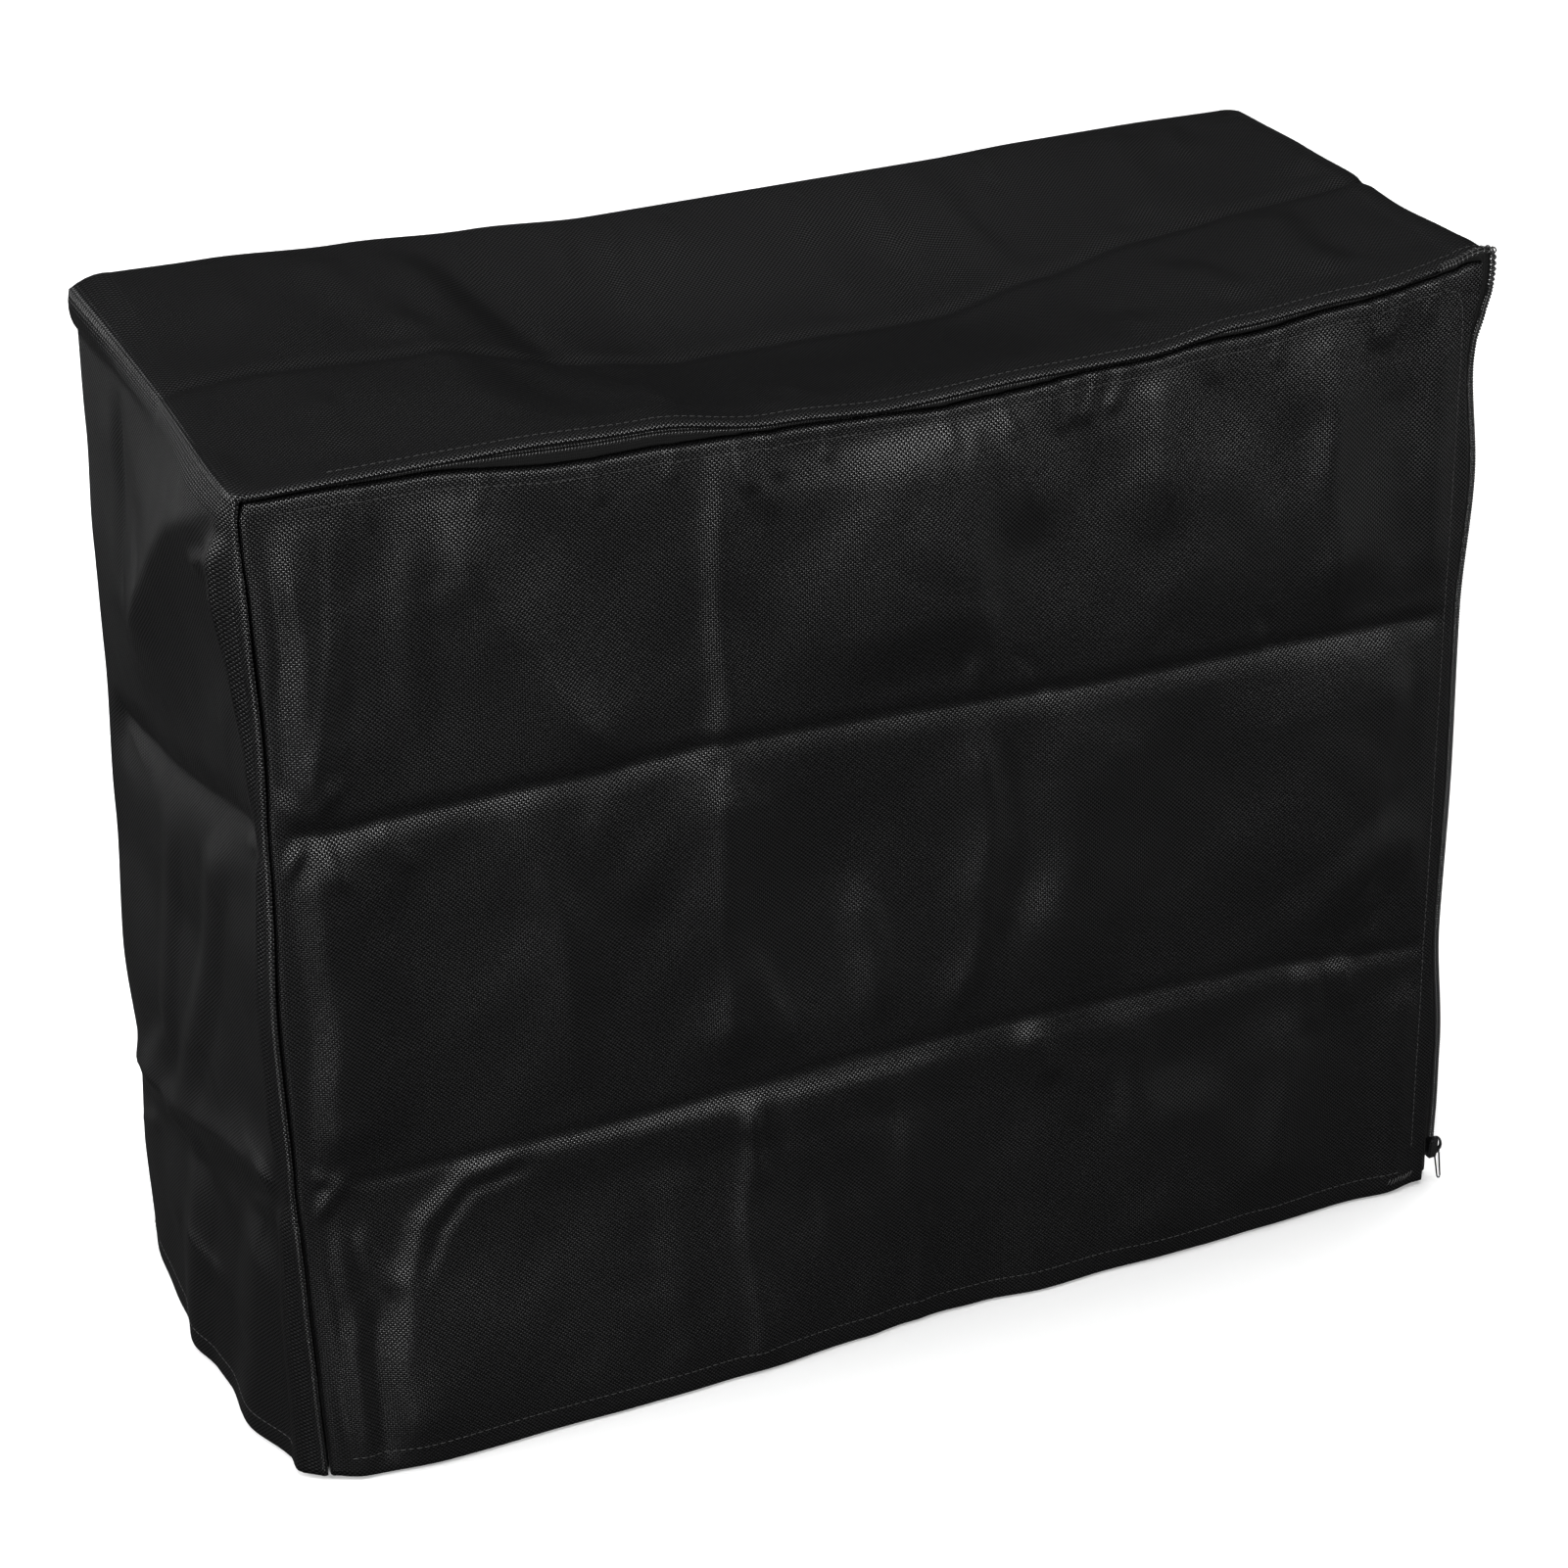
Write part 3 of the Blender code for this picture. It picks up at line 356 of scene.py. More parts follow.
# Small gathers that the zip's stitching draws in the panel below it
PUCKER_WIDTHS = (3.6, 4.2)
PUCKER_ROOM = 9  # so that they start at the zip itself
ZIP_PUCKERS = (
    # x, length, lean to the right, lift
    (-206, 12, 3, 0.7), (-160, 10, -2, 0.6), (-118, 12, 2, 0.7), (-86, 9, -2, 0.6),
    (-62, 18, 4, 1.0), (-49, 14, 3, 0.9), (-24, 10, -2, 0.6), (22, 12, 2, 0.7), (44, 13, 5, 0.8),
    (66, 16, 4, 1.0), (76, 14, -1, 1.2), (85, 16, -5, 1.2), (97, 13, -6, 1.0), (132, 12, 3, 0.7),
    (164, 11, -2, 0.7), (201, 15, 5, 1.2), (209, 17, 1, 1.3), (217, 14, -4, 1.1),
    (232, 12, -3, 0.8),
)

PACKING_UPPER_BACK = ((-252, 150), (-60, 146), (80, 150), (252, 147))
PACKING_LOWER_BACK = ((-252, 326), (-120, 318), (0, 315), (120, 306), (252, 301))
BACK_CREASES = (
    # ..., line of (x, down)
    (-3.0, 32, 24, CRISP, 0.0, PACKING_UPPER_BACK),
    (3.0, 30, 30, CRISP, 0.0, PACKING_LOWER_BACK),
)
BACK_FOLDS = (
    # ..., line of (x, down)
    # Uprights from the packing
    (1.8, 12, 14, CRISP, 0.0, ((-74, 8), (-71, 150), (-73, 320), (-70, 430))),
    (1.8, 14, 12, CRISP, 0.0, ((52, 8), (49, 150), (52, 310), (50, 430))),
    # Sweeps of the upper, the middle and the lower field
    (4.2, 30, 34, SOFT, 0.1, ((-206, 12), (-186, 60), (-150, 110), (-140, 146))),
    (3.4, 34, 26, SOFT, 0.1, ((-20, 14), (-4, 60), (-14, 120))),
    (4.4, 34, 30, SOFT, 0.1, ((196, 12), (170, 56), (150, 104), (156, 146))),
    (3.6, 26, 30, SOFT, 0.1, ((-176, 156), (-160, 210), (-172, 270), (-160, 316))),
    (3.4, 24, 26, SOFT, 0.1, ((-24, 152), (-10, 210), (-26, 300))),
    (4.0, 30, 28, SOFT, 0.1, ((118, 152), (138, 200), (126, 250), (142, 304))),
    (1.8, 14, 14, SOFT, 0.2, ((210, 156), (204, 210), (214, 250))),
    (4.2, 26, 34, SOFT, 0.1, ((-196, 330), (-184, 380), (-190, 430))),
    (3.2, 26, 26, SOFT, 0.1, ((-18, 326), (-8, 380), (-16, 430))),
    (3.6, 26, 30, SOFT, 0.1, ((128, 318), (140, 370), (132, 430))),
    # Rolls along the seams, and pinches at the upper crease
    (2.6, 12, 14, SOFT, 0.1, ((-234, 14), (-236, 140))),
    (2.6, 14, 12, SOFT, 0.1, ((235, 160), (237, 296))),
    (1.5, 5, 6, SOFT, 0.4, ((-248, 140), (-214, 160))),
    (1.5, 5, 6, SOFT, 0.4, ((214, 134), (248, 150))),
)
BACK_SWELLS = (
    # x, down, half width, half height, lift
    (-120, 75, 80, 60, 3),
    (130, 80, 80, 60, 3),
    (-110, 225, 90, 60, 3),
    (120, 225, 80, 60, 3),
    (0, 400, 160, 70, 8),
)

# The slit between the strip and the front panel, with the chain in it: how far it gapes and the
# strip's edge stands back, and where the chain lies, outward and behind the panel's face
SLIT = (
    # place along the strip, open, set back, chain out, chain back
    (0, 0.4, -1.2, -2.9, 4.4), (110, 0.6, -1.4, -2.9, 4.4), (130, 0.1, -0.2, -2.9, 4.4),
    (150, 0.6, -1.2, -2.9, 4.4), (230, 0.8, -1.5, -2.9, 4.4), (284, 0.1, 0.0, -2.9, 4.4),
    (320, 0.8, -1.6, -2.9, 4.4), (385, 1.0, -2.6, -2.9, 4.4), (408, 0.2, -0.6, -2.9, 4.4),
    (450, 0.6, 0.0, -3.1, 4.4), (490, 2.0, 0.0, -3.9, 4.4), (545, 7.5, 0.0, -6.0, 4.6),
    (585, 6.5, 0.0, -5.5, 4.6), (625, 2.0, 0.0, -3.9, 4.4), (670, 0.6, 0.0, -3.2, 4.4),
    (700, 3.0, 0.0, -4.4, 4.4), (730, 3.0, 0.0, -4.4, 4.4), (760, 0.6, 0.0, -3.2, 4.4),
    (795, 0.6, 0.0, -3.2, 4.4), (825, 3.0, 0.0, -4.4, 4.4), (865, 1.8, 0.0, -3.9, 4.4),
    (890, 0.8, 0.0, -3.2, 4.2), (905, 0.6, 1.4, -2.4, 3.6), (916, 0.2, 3.4, -0.4, 2.4),
    (926, -0.6, 4.8, 2.2, 1.8), (936, -1.0, 5.2, 2.5, 1.5), (946, -1.0, 4.8, 1.4, 1.3),
    (957, -1.2, 4.2, -0.1, 1.2), (970, -1.2, 4.0, -0.3, 1.2), (1285, -1.2, 4.0, -0.3, 1.2),
    (1318, -0.4, 6.0, 0.5, 1.4),
)
OPEN, SET_BACK, CHAIN_OUT, CHAIN_BACK = 1, 2, 3, 4


def smooth(t):
    t = np.clip(t, 0.0, 1.0)
    return t * t * (3 - 2 * t)


def looked_up(table, place, column):
    """A column of a table at places between its rows, eased from row to row."""
    rows = np.array(table, float)
    place = np.asarray(place, float)
    k = np.clip(np.searchsorted(rows[:, 0], place, side="right") - 1, 0, len(rows) - 2)
    share = smooth((place - rows[k, 0]) / (rows[k + 1, 0] - rows[k, 0]))
    return rows[k, column] + share * (rows[k + 1, column] - rows[k, column])


def wander(p, q, size, turn):
    """A smooth, uneven drift between -1 and 1 over patches of about that size."""
    a = p * math.tau / size + turn
    b = q * math.tau / size + 2.1 * turn
    one = np.sin(a + 1.3 * np.sin(0.7 * b + turn))
    other = np.sin(0.83 * b + 1.7 * np.sin(0.61 * a + 0.5))
    return (one + other) / 2


def drifted(drifts, p, q):
    return sum(far * wander(p, q, size, turn) for far, size, turn in drifts)


def from_line(line, p, q):
    """Distance to a line of points, negative above or left of it, and the share along it."""
    shape = np.broadcast(p, q).shape
    nearest = np.full(shape, np.inf)
    share = np.zeros(shape)
    lengths = [math.dist(a, b) for a, b in zip(line, line[1:])]
    upright = abs(line[-1][1] - line[0][1]) > abs(line[-1][0] - line[0][0])
    passed = 0.0
    for (p0, q0), (p1, q1), length in zip(line, line[1:], lengths):
        along = ((p - p0) * (p1 - p0) + (q - q0) * (q1 - q0)) / length**2
        along = np.clip(along, 0.0, 1.0)
        off_p = p - p0 - along * (p1 - p0)
        off_q = q - q0 - along * (q1 - q0)
        far = np.hypot(off_p, off_q)
        side = (p1 - p0) * off_q - (q1 - q0) * off_p
        side = -side if upright else side
        closer = far < np.abs(nearest)
        nearest = np.where(closer, np.copysign(far, side), nearest)
        share = np.where(closer, (passed + along * length) / sum(lengths), share)
        passed += length
    return nearest, share


def line_length(line):
    return sum(math.dist(a, b) for a, b in zip(line, line[1:]))


def folded(folds, p, q, room, crest=ROUNDED):
    """What the folds add to a surface. They die away towards the sewn edge that `room` is
    measured from."""
    total = np.zeros(np.broadcast(p, q).shape)
    for lift, first, second, kind, fade, line in folds:
        far, share = from_line(line, p, q)
        width = np.where(far > 0, second, first)
        if kind == CRISP:
            height = np.clip(1 - (np.hypot(far, crest) - crest) / width, 0, 1) ** 2
        else:
            height = smooth(1 - np.abs(far) / width)
        if fade:
            fade = max(fade, min(0.5, END_SLOPE * abs(lift) / line_length(line)))
            height = height * smooth(share / fade) * smooth((1 - share) / fade)
        ease = smooth((room - EDGE_FLAT) / min(max(first, second), EDGE_EASE))
        total += lift * height * ease
    return total


def swollen(swells, x, down):
    """What broad swells and hollows add to a panel."""
    total = np.zeros(np.broadcast(x, down).shape)
    for at_x, at_down, half_x, half_down, lift in swells:
        across, along = (x - at_x) / half_x, (down - at_down) / half_down
        total += lift * np.exp(-(across**2) - along**2)
    return total


def crumples(seed, count, spans, lean, spread):
    """Faint creases scattered over a face, as rows of a fold table, at angles in degrees."""
    half_lengths, bends, widths, lifts = (10, 34), (-5, 5), (7, 13), (0.08, 0.26)
    dice = np.random.default_rng(seed)
    folds = []
    for _ in range(count):
        p, q = (dice.uniform(low, high) for low, high in spans)
        turn = math.radians(lean + dice.normal() * spread)
        half = dice.uniform(*half_lengths)
        bend = dice.uniform(*bends)
        off = (half * math.cos(turn), half * math.sin(turn))
        middle = (p - bend * math.sin(turn), q + bend * math.cos(turn))
        ends = sorted([(p - off[0], q - off[1]), (p + off[0], q + off[1])],
                      key=lambda end: end[1] if abs(off[1]) > abs(off[0]) else end[0])
        width = dice.uniform(*widths)
        lift = dice.uniform(*lifts) * dice.choice((-1, 1))
        folds.append((lift, width, width, SOFT, 0.45, (ends[0], middle, ends[1])))
    return tuple(folds)


PANEL_SPANS, SIDE_SPANS = ((-240, 240), (20, 425)), ((14, 188), (20, 425))
FRONT_CRUMPLES = crumples(3, 70, PANEL_SPANS, 80, 32)
BACK_CRUMPLES = crumples(5, 60, PANEL_SPANS, 80, 40)
TOP_CRUMPLES = crumples(7, 34, ((-235, 235), (24, 190)), 85, 30)
LEFT_CRUMPLES = crumples(9, 34, SIDE_SPANS, 75, 35)
RIGHT_CRUMPLES = crumples(11, 34, SIDE_SPANS, 85, 35)


def seam_roll(back, down):
    share = np.clip(back / looked_up(SEAM_ROLL, down, 2), 0, 1)
    return looked_up(SEAM_ROLL, down, 1) * smooth(share / ROLL_RISE) * smooth((1 - share) / ROLL_FALL)


def side_lift(shape, folds, back, down):
    front, middle, rear = (looked_up(shape, down, column) for column in (1, 2, 3))
    share = np.clip(back / DEPTH, 0, 1)
    bow = (middle - (front + rear) / 2) * (4 * share * (1 - share)) ** SIDE_FULLNESS
    room = np.minimum(np.minimum(back, DEPTH - back), down + SIDE_TOP_ROOM)
    drift = drifted(SIDE_DRIFT, back, down) * smooth(room / DRIFT_EASE)
    return front + share * (rear - front) + bow + folded(folds, back, down, room) + drift


def plain_top_lift(x, back):
    crease = looked_up(TOP_SHAPE, x, 2)
    ahead = back < TOP_CREASE_BACK
    edge = np.where(ahead, looked_up(TOP_SHAPE, x, 1), looked_up(TOP_SHAPE, x, 3))
    from_front = np.maximum(back - TOP_FLAT, 0) / (TOP_CREASE_BACK - TOP_FLAT)
    from_back = np.maximum(DEPTH - back, 0) / (DEPTH - TOP_CREASE_BACK)
    share = np.clip(np.where(ahead, from_front, from_back), 0, 1)
    return edge + (crease - edge) * np.sin(share * math.pi / 2) ** TOP_SLUMP


def top_lift(x, back):
    room = np.minimum(back, DEPTH - back)
    drift = drifted(TOP_DRIFT, x, back) * smooth(room / TOP_DRIFT_EASE)
    return plain_top_lift(x, back) + folded(TOP_FOLDS + TOP_CRUMPLES, x, back, room) + drift


TOP_EDGE_HEIGHT = FRAME_CLOTH / 2 - float(plain_top_lift(np.array(0.0), np.array(DEPTH / 2)))


def strip_base(run):
    """Place (x, z) and outward direction (x, z) at `run`."""
    run = np.asarray(run, float)
    side = np.where(run <= WHOLE_RUN / 2, -1.0, 1.0)
    way = np.minimum(run, WHOLE_RUN - run)
    turned = np.clip((way - SIDE_RUN) / BEND, 0, math.pi / 2)
    out_x = side * np.cos(turned)
    out_z = np.sin(turned)
    x = side * (WIDTH / 2 - BEND) + BEND * out_x
    past = way > SIDE_RUN + BEND_RUN
    x = np.where(past, side * (SIDE_RUN + BEND_RUN + TOP_RUN / 2 - way), x)
    z = np.where(way < SIDE_RUN, way - DROP, BEND * out_z - BEND)
    return x, z, out_x, out_z


def free_lift(run, back):
    x, z, out_x, out_z = strip_base(run)
    left = side_lift(LEFT_SHAPE, LEFT_FOLDS + LEFT_CRUMPLES, back, -z) + seam_roll(back, -z)
    left += folded(LEFT_SHELF, back, -z, np.minimum(back + 8, DEPTH - back), SHELVED)
    right = side_lift(RIGHT_SHAPE, RIGHT_FOLDS + RIGHT_CRUMPLES, back, -z)
    return out_z * top_lift(x, back) + np.abs(out_x) * np.where(x < 0, left, right)


def strip_lift(run, back):
    """How far the strip stands outward of a plain box. The zip's tape keeps its edge flat."""
    run, back = np.broadcast_arrays(np.asarray(run, float), np.asarray(back, float))
    edge = free_lift(run, np.zeros(run.shape))
    inner = free_lift(run, np.full(run.shape, STITCHED))
    flat = edge + (inner - edge) * back / STITCHED
    free = free_lift(run, back)
    zipped = smooth((run - ZIP_START + ZIP_RAMP) / ZIP_RAMP) * (back < STITCHED)
    return free + (flat - free) * zipped


def strip_point(run, back, out=0.0):
    """Points `out` beyond the strip's box shape. Its bends are sharper near the front seam."""
    x, z, out_x, out_z = strip_base(run)
    sharp = SHARP_FRONT + (SHARP_REAR - SHARP_FRONT) * smooth(np.asarray(back, float) / SHARP_REACH)
    out = out + sharp * (BEND + out) * (1 / np.maximum(np.abs(out_x), out_z) - 1)
    x, back, z = np.broadcast_arrays(x + out * out_x, back - DEPTH / 2, z + out * out_z)
    return np.stack([x, back, z], axis=-1)


def stations(start, end, step, marks=()):
    """Places from start to end, about a step apart, with every mark among them."""
    stops = sorted({start, end, *(mark for mark in marks if start < mark < end)})
    places = []
    for low, high in zip(stops, stops[1:]):
        pieces = max(1, round((high - low) / step))
        places += [low + (high - low) * k / pieces for k in range(pieces)]
    return np.array(places + [end])


def strip_stations(step, start=0.0, end=WHOLE_RUN):
    marks = []
    for bend in (SIDE_RUN, SIDE_RUN + BEND_RUN + TOP_RUN):
        marks += [bend + BEND_RUN * k / BEND_PARTS for k in range(BEND_PARTS + 1)]
    return stations(start, end, step, marks)


def turned_edge():
    """Steps of a turned-in edge, as (beyond the start, inward), with its tucked end."""
    angles = [math.pi / 2 * k / TURN_PARTS for k in range(1, TURN_PARTS + 1)]
    steps = [(TURN * math.sin(a), TURN * (1 - math.cos(a))) for a in angles]
    return steps + [(TURN, TURN + TUCK)]


def hem_steps():
    """Steps of a hem's fold, as (below, inward), then how far its end is turned up."""
    angles = [math.pi * k / HEM_PARTS for k in range(1, HEM_PARTS + 1)]
    fold = [(HEM_TURN * math.sin(a), HEM_TURN * (1 - math.cos(a))) for a in angles]
    return fold + [(-HEM * k / HEM_BACK_PARTS, 2 * HEM_TURN) for k in range(1, HEM_BACK_PARTS + 1)]


def new_piece(name, points, faces):
    """A smooth piece of points in millimetres from the top edge, raised to its place."""
    points[:, 2] += TOP_EDGE_HEIGHT
    mesh = bpy.data.meshes.new(name)
    mesh.from_pydata((points / 1000).tolist(), [], faces)
    mesh.shade_smooth()
    obj = bpy.data.objects.new(name, mesh)
    bpy.context.collection.objects.link(obj)
    return obj


class Cut:
    """A piece of cloth being laid out: its points, their places on the flat cloth, its faces."""

    def __init__(self):
        self.points, self.marks, self.faces, self.count = [], [], [], 0

    def add(self, points, marks):
        points = np.asarray(points, float)
        self.points.append(points.reshape(-1, 3))
        self.marks.append(np.asarray(marks, float).reshape(-1, 2))
        ids = np.arange(self.count, self.count + points[..., 0].size)
        self.count += ids.size
        return ids.reshape(points.shape[:-1])

    def join(self, ids, turned=False):
        """Faces between rows of points."""
        quads = np.stack([ids[:-1, :-1], ids[:-1, 1:], ids[1:, 1:], ids[1:, :-1]], axis=-1)
        quads = quads.reshape(-1, 4)
        self.faces.append(quads[:, ::-1] if turned else quads)

    def sewn(self, name, thickness):
        """The finished piece, raised to its place, with that thickness."""
        obj = new_piece(name, np.concatenate(self.points), np.concatenate(self.faces).tolist())
        marks = np.concatenate(self.marks) / 1000
        corner = np.empty(len(obj.data.loops), np.int32)
        obj.data.loops.foreach_get("vertex_index", corner)
        obj.data.uv_layers.new(name="cloth").data.foreach_set("uv", marks[corner].ravel())
        solidify = obj.modifiers.new("thickness", "SOLIDIFY")
        solidify.thickness = thickness / 1000
        solidify.offset = 0.0
        solidify.material_offset = 1
        solidify.material_offset_rim = 0
        return obj


def applied(obj):
    bpy.ops.object.select_all(action="DESELECT")
    obj.select_set(True)
    bpy.context.view_layer.objects.active = obj
    for modifier in list(obj.modifiers):
        bpy.ops.object.modifier_apply(modifier=modifier.name)
    return obj


def make_band():
    """The strip: left side, top and right side, with turned edges and hemmed ends."""
    cut = Cut()
    runs = strip_stations(STRIP_STEP)[:, None]
    start = looked_up(SLIT, runs, SET_BACK)
    near = np.linspace(0, 1, EDGE_PARTS + 1)[None, :-1]
    near = start + TURN + (STITCHED - start - TURN) * near
    far = stations(STITCHED, DEPTH - TURN, STRIP_STEP)[None, :]
    places = np.concatenate([near, np.broadcast_to(far, (len(runs), far.shape[1]))], axis=1)
    middle = strip_point(runs, places, strip_lift(runs, places))
    front = strip_lift(runs, start)
    rear = strip_lift(runs, np.full(runs.shape, DEPTH))
    ahead = [strip_point(runs, start + TURN - beyond, front - inward)
             for beyond, inward in reversed(turned_edge())]
    behind = [strip_point(runs, DEPTH - TURN + beyond, rear - inward)
              for beyond, inward in turned_edge()]
    points = np.concatenate([*ahead, middle, *behind], axis=1)
    turns = np.linspace(1, len(ahead), len(ahead)) * FLAT_TURN
    rear_turns = np.broadcast_to(DEPTH - TURN + turns, (len(runs), len(turns)))
    across = np.concatenate([start + TURN - turns[::-1], places, rear_turns], axis=1)
    ids = cut.add(points, np.stack(np.broadcast_arrays(runs, across), axis=-1))
    cut.join(ids, turned=True)
    inner = np.abs(points[0, :, 1]) < DEPTH / 2 - HEM_INSET
    for end, outward in ((0, -1), (-1, 1)):
        lines, y = [ids[end][inner]], points[end][inner][:, 1]
        ramp = smooth((DEPTH / 2 - HEM_INSET - np.abs(y)) / HEM_RAMP)
        for below, inset in hem_steps():
            run = np.full(len(y), -below if end == 0 else WHOLE_RUN + below)
            run = np.clip(run, 0, WHOLE_RUN)
            place = strip_point(run, y + DEPTH / 2, strip_lift(run, y + DEPTH / 2))
            place[:, 0] -= outward * inset
            place[:, 2] -= max(below, 0) * ramp
            lines.append(cut.add(place, np.stack([run, y], axis=-1)))
        cut.join(np.array(lines[::-1] if end == 0 else lines), turned=True)
    return cut.sewn("band_cloth", CLOTH)


def rim_point(run, back):
    """Where a panel's edge starts to turn in, next to the strip at `run`. The slit of the zip
    lies between the two in front."""
    opened = 0.0 if back else looked_up(SLIT, run, OPEN)
    lift = strip_lift(run, np.full(np.shape(run), back))
    return strip_point(run, back, lift - EDGE_STEP - opened - TURN)


def top_run(x):
    """The run above a panel's upright at x. The last uprights stand under the bends."""
    past = np.maximum(np.abs(x) - TOP_RUN / 2, 0)
    way = np.minimum(np.abs(x), TOP_RUN / 2) + past * BEND_RUN / BEND
    return WHOLE_RUN / 2 + np.copysign(way, x)


def front_top(x):
    """How far down the front panel's top edge turns in at x."""
    return -float(rim_point(top_run(np.array([float(x)])), 0.0)[0, 2])


def side_run(side, down):
    return np.where(side < 0, DROP - down, WHOLE_RUN - DROP + down)


def panel_grid(step, back, creases, lift):
    """Points of a panel from hem to top. Its rows follow the two packing creases."""
    marks = [side * (TOP_RUN / 2 + BEND * share / CORNER_PARTS)
             for side in (-1, 1) for share in range(CORNER_PARTS)]
    uprights = stations(-WIDTH / 2, WIDTH / 2, step, marks)
    tops = rim_point(top_run(uprights), back)
    lines = [np.array(line, float) for line in creases]
    upper, lower = (np.interp(uprights, line[:, 0], line[:, 1]) for line in lines)
    whole = np.ones(len(uprights))
    stops = (DROP * whole, lower, upper, CORNER_ROW * whole, -tops[:, 2])
    side = np.sign(uprights)
    rows = []
    for low, high in zip(stops, stops[1:]):
        last = high is stops[-1]
        pieces = max(1, round(float(np.mean(low - high)) / step))
        for k in range(pieces + last):
            share = k / pieces
            down = low + (high - low) * share
            edge = rim_point(side_run(side, np.maximum(down, BEND)), back)
            x = uprights * np.abs(edge[:, 0]) / (WIDTH / 2)
            if last:
                x = x + (tops[:, 0] - x) * smooth(share * 2 - 1)
            rows.append(np.stack([x, down], axis=-1))
    flat = np.array(rows)
    side = -1 if back == 0.0 else 1
    y = side * (DEPTH / 2 + lift(flat[..., 0], flat[..., 1]))
    return flat, np.stack([flat[..., 0], y, -flat[..., 1]], axis=-1)


def make_panel(name, step, back, creases, lift):
    """A wide face: its grid, its turned-in left, top and right edges, and its hem."""
    cut = Cut()
    rear = back > 0
    inward = np.array([0.0, -1.0 if rear else 1.0, 0.0])
    flat, points = panel_grid(step, back, creases, lift)
    ids = cut.add(points, flat * (1, -1))
    cut.join(ids, turned=rear)

    def round_the_edge(grid):
        return np.concatenate([grid[:, 0], grid[-1, 1:], grid[:-1, -1][::-1]])

    rim, rim_ids = round_the_edge(points), round_the_edge(ids)
    along = np.roll(rim, -1, axis=0) - np.roll(rim, 1, axis=0)
    along[0], along[-1] = rim[1] - rim[0], rim[-1] - rim[-2]
    out = np.stack([-along[:, 2], np.zeros(len(rim)), along[:, 0]], axis=-1)
    out /= np.linalg.norm(out, axis=1)[:, None]
    lines = [rim_ids]
    for number, (beyond, depth) in enumerate(turned_edge(), 1):
        places = rim + out * beyond + inward * depth
        lines.append(cut.add(places, (rim + out * FLAT_TURN * number)[:, [0, 2]]))
    cut.join(np.array(lines), turned=rear)
    inner = np.abs(points[0, :, 0]) < WIDTH / 2 - HEM_INSET - TURN
    lines, x = [ids[0][inner]], points[0, inner, 0]
    ramp = smooth((WIDTH / 2 - HEM_INSET - TURN - np.abs(x)) / HEM_RAMP)
    for below, inset in hem_steps():
        down = np.full(len(x), DROP + min(below, 0))
        y = (1 if rear else -1) * (DEPTH / 2 + lift(x, down)) + inward[1] * inset
        place = np.stack([x, y, -down - max(below, 0) * ramp], axis=-1)
        lines.append(cut.add(place, place[:, [0, 2]]))
    cut.join(np.array(lines[::-1]), turned=rear)
    return cut.sewn(name, CLOTH)


def edge_lifts(back):
    """The strip's lift all along one of its edges, as a fine table."""
    runs = strip_stations(2.0)
    return runs, strip_lift(runs, np.full(len(runs), back))


SEAM_TO_CLOTH = 4.0  # from the box's corner to where a panel's face begins
EDGE_LIFTS = {back: edge_lifts(back) for back in (0.0, DEPTH)}


def panel_room(x, down, back):
    """Distance from a panel's sewn or zipped edges."""
    run = top_run(np.clip(x, -TOP_RUN / 2, TOP_RUN / 2))
    top = down + np.interp(run, *EDGE_LIFTS[back])
    return np.minimum(WIDTH / 2 - np.abs(x), top) - SEAM_TO_CLOTH


def zip_pucker_folds():
    """The gathers below the zip, as rows of a fold table."""
    folds = []
    for x, length, lean, lift in ZIP_PUCKERS:
        top = front_top(x)
        line = ((x, top - 1), (x + lean * 0.4, top + length * 0.5), (x + lean, top + length))
        folds.append((lift, *PUCKER_WIDTHS, SOFT, 0.0, line))
    return tuple(folds)


PUCKERS = zip_pucker_folds()


def front_lift(x, down):
    kick = looked_up(HEM_KICK, x, 1) * smooth((down - KICK_START) / (DROP - KICK_START))
    room = panel_room(x, down, 0.0)
    stray_x = x + drifted(FRONT_STRAY, x, down)
    steady = smooth(np.abs(down - STEADY_ROW) / STEADY_REACH)
    stray_down = down + drifted(FRONT_STRAY_DOWN, x, down) * steady
    shape = folded(FRONT_CREASES, x, down, room, PRESSED)
    free = folded(FRONT_FOLDS + FRONT_CRUMPLES, stray_x, stray_down, room)
    free += swollen(FRONT_SWELLS, x, down) * smooth((room - SLACK_FLAT) / SLACK_EASE)
    shape += free * smooth((down - FREE_FLAT) / FREE_EASE)
    drift = drifted(FRONT_DRIFT, x, down) * smooth(room / DRIFT_EASE)
    return shape + kick + drift + folded(PUCKERS, x, down, room + PUCKER_ROOM)


def back_lift(x, down):
    room = panel_room(x, down, DEPTH)
    stray_x = x + drifted(BACK_STRAY, x, down)
    shape = folded(BACK_CREASES, x, down, room, PRESSED)
    shape += folded(BACK_FOLDS + BACK_CRUMPLES, stray_x, down, room)
    slack = swollen(BACK_SWELLS, x, down) + drifted(BACK_DRIFT, x, down)
    return shape + slack * smooth((room - SLACK_FLAT) / SLACK_EASE)


def unit(vectors):
    return vectors / np.linalg.norm(vectors, axis=-1)[..., None]


def on_cloth(surface, facing, a, b, step=0.6):
    """Points of a surface and its unit normals, from its slope both ways. `facing` is -1 where
    the way that the coordinates run turns the normals inward."""
    along = surface(a + step, b) - surface(a - step, b)
    across = surface(a, b + step) - surface(a, b - step)
    return surface(a, b), facing * unit(np.cross(along, across))


def front_surface(x, down):
    return np.stack([x, -DEPTH / 2 - front_lift(x, down), -down], axis=-1)


def back_surface(x, down):
    return np.stack([x, DEPTH / 2 + back_lift(x, down), -down], axis=-1)


def band_surface(run, back):
    return strip_point(run, back, strip_lift(run, back))


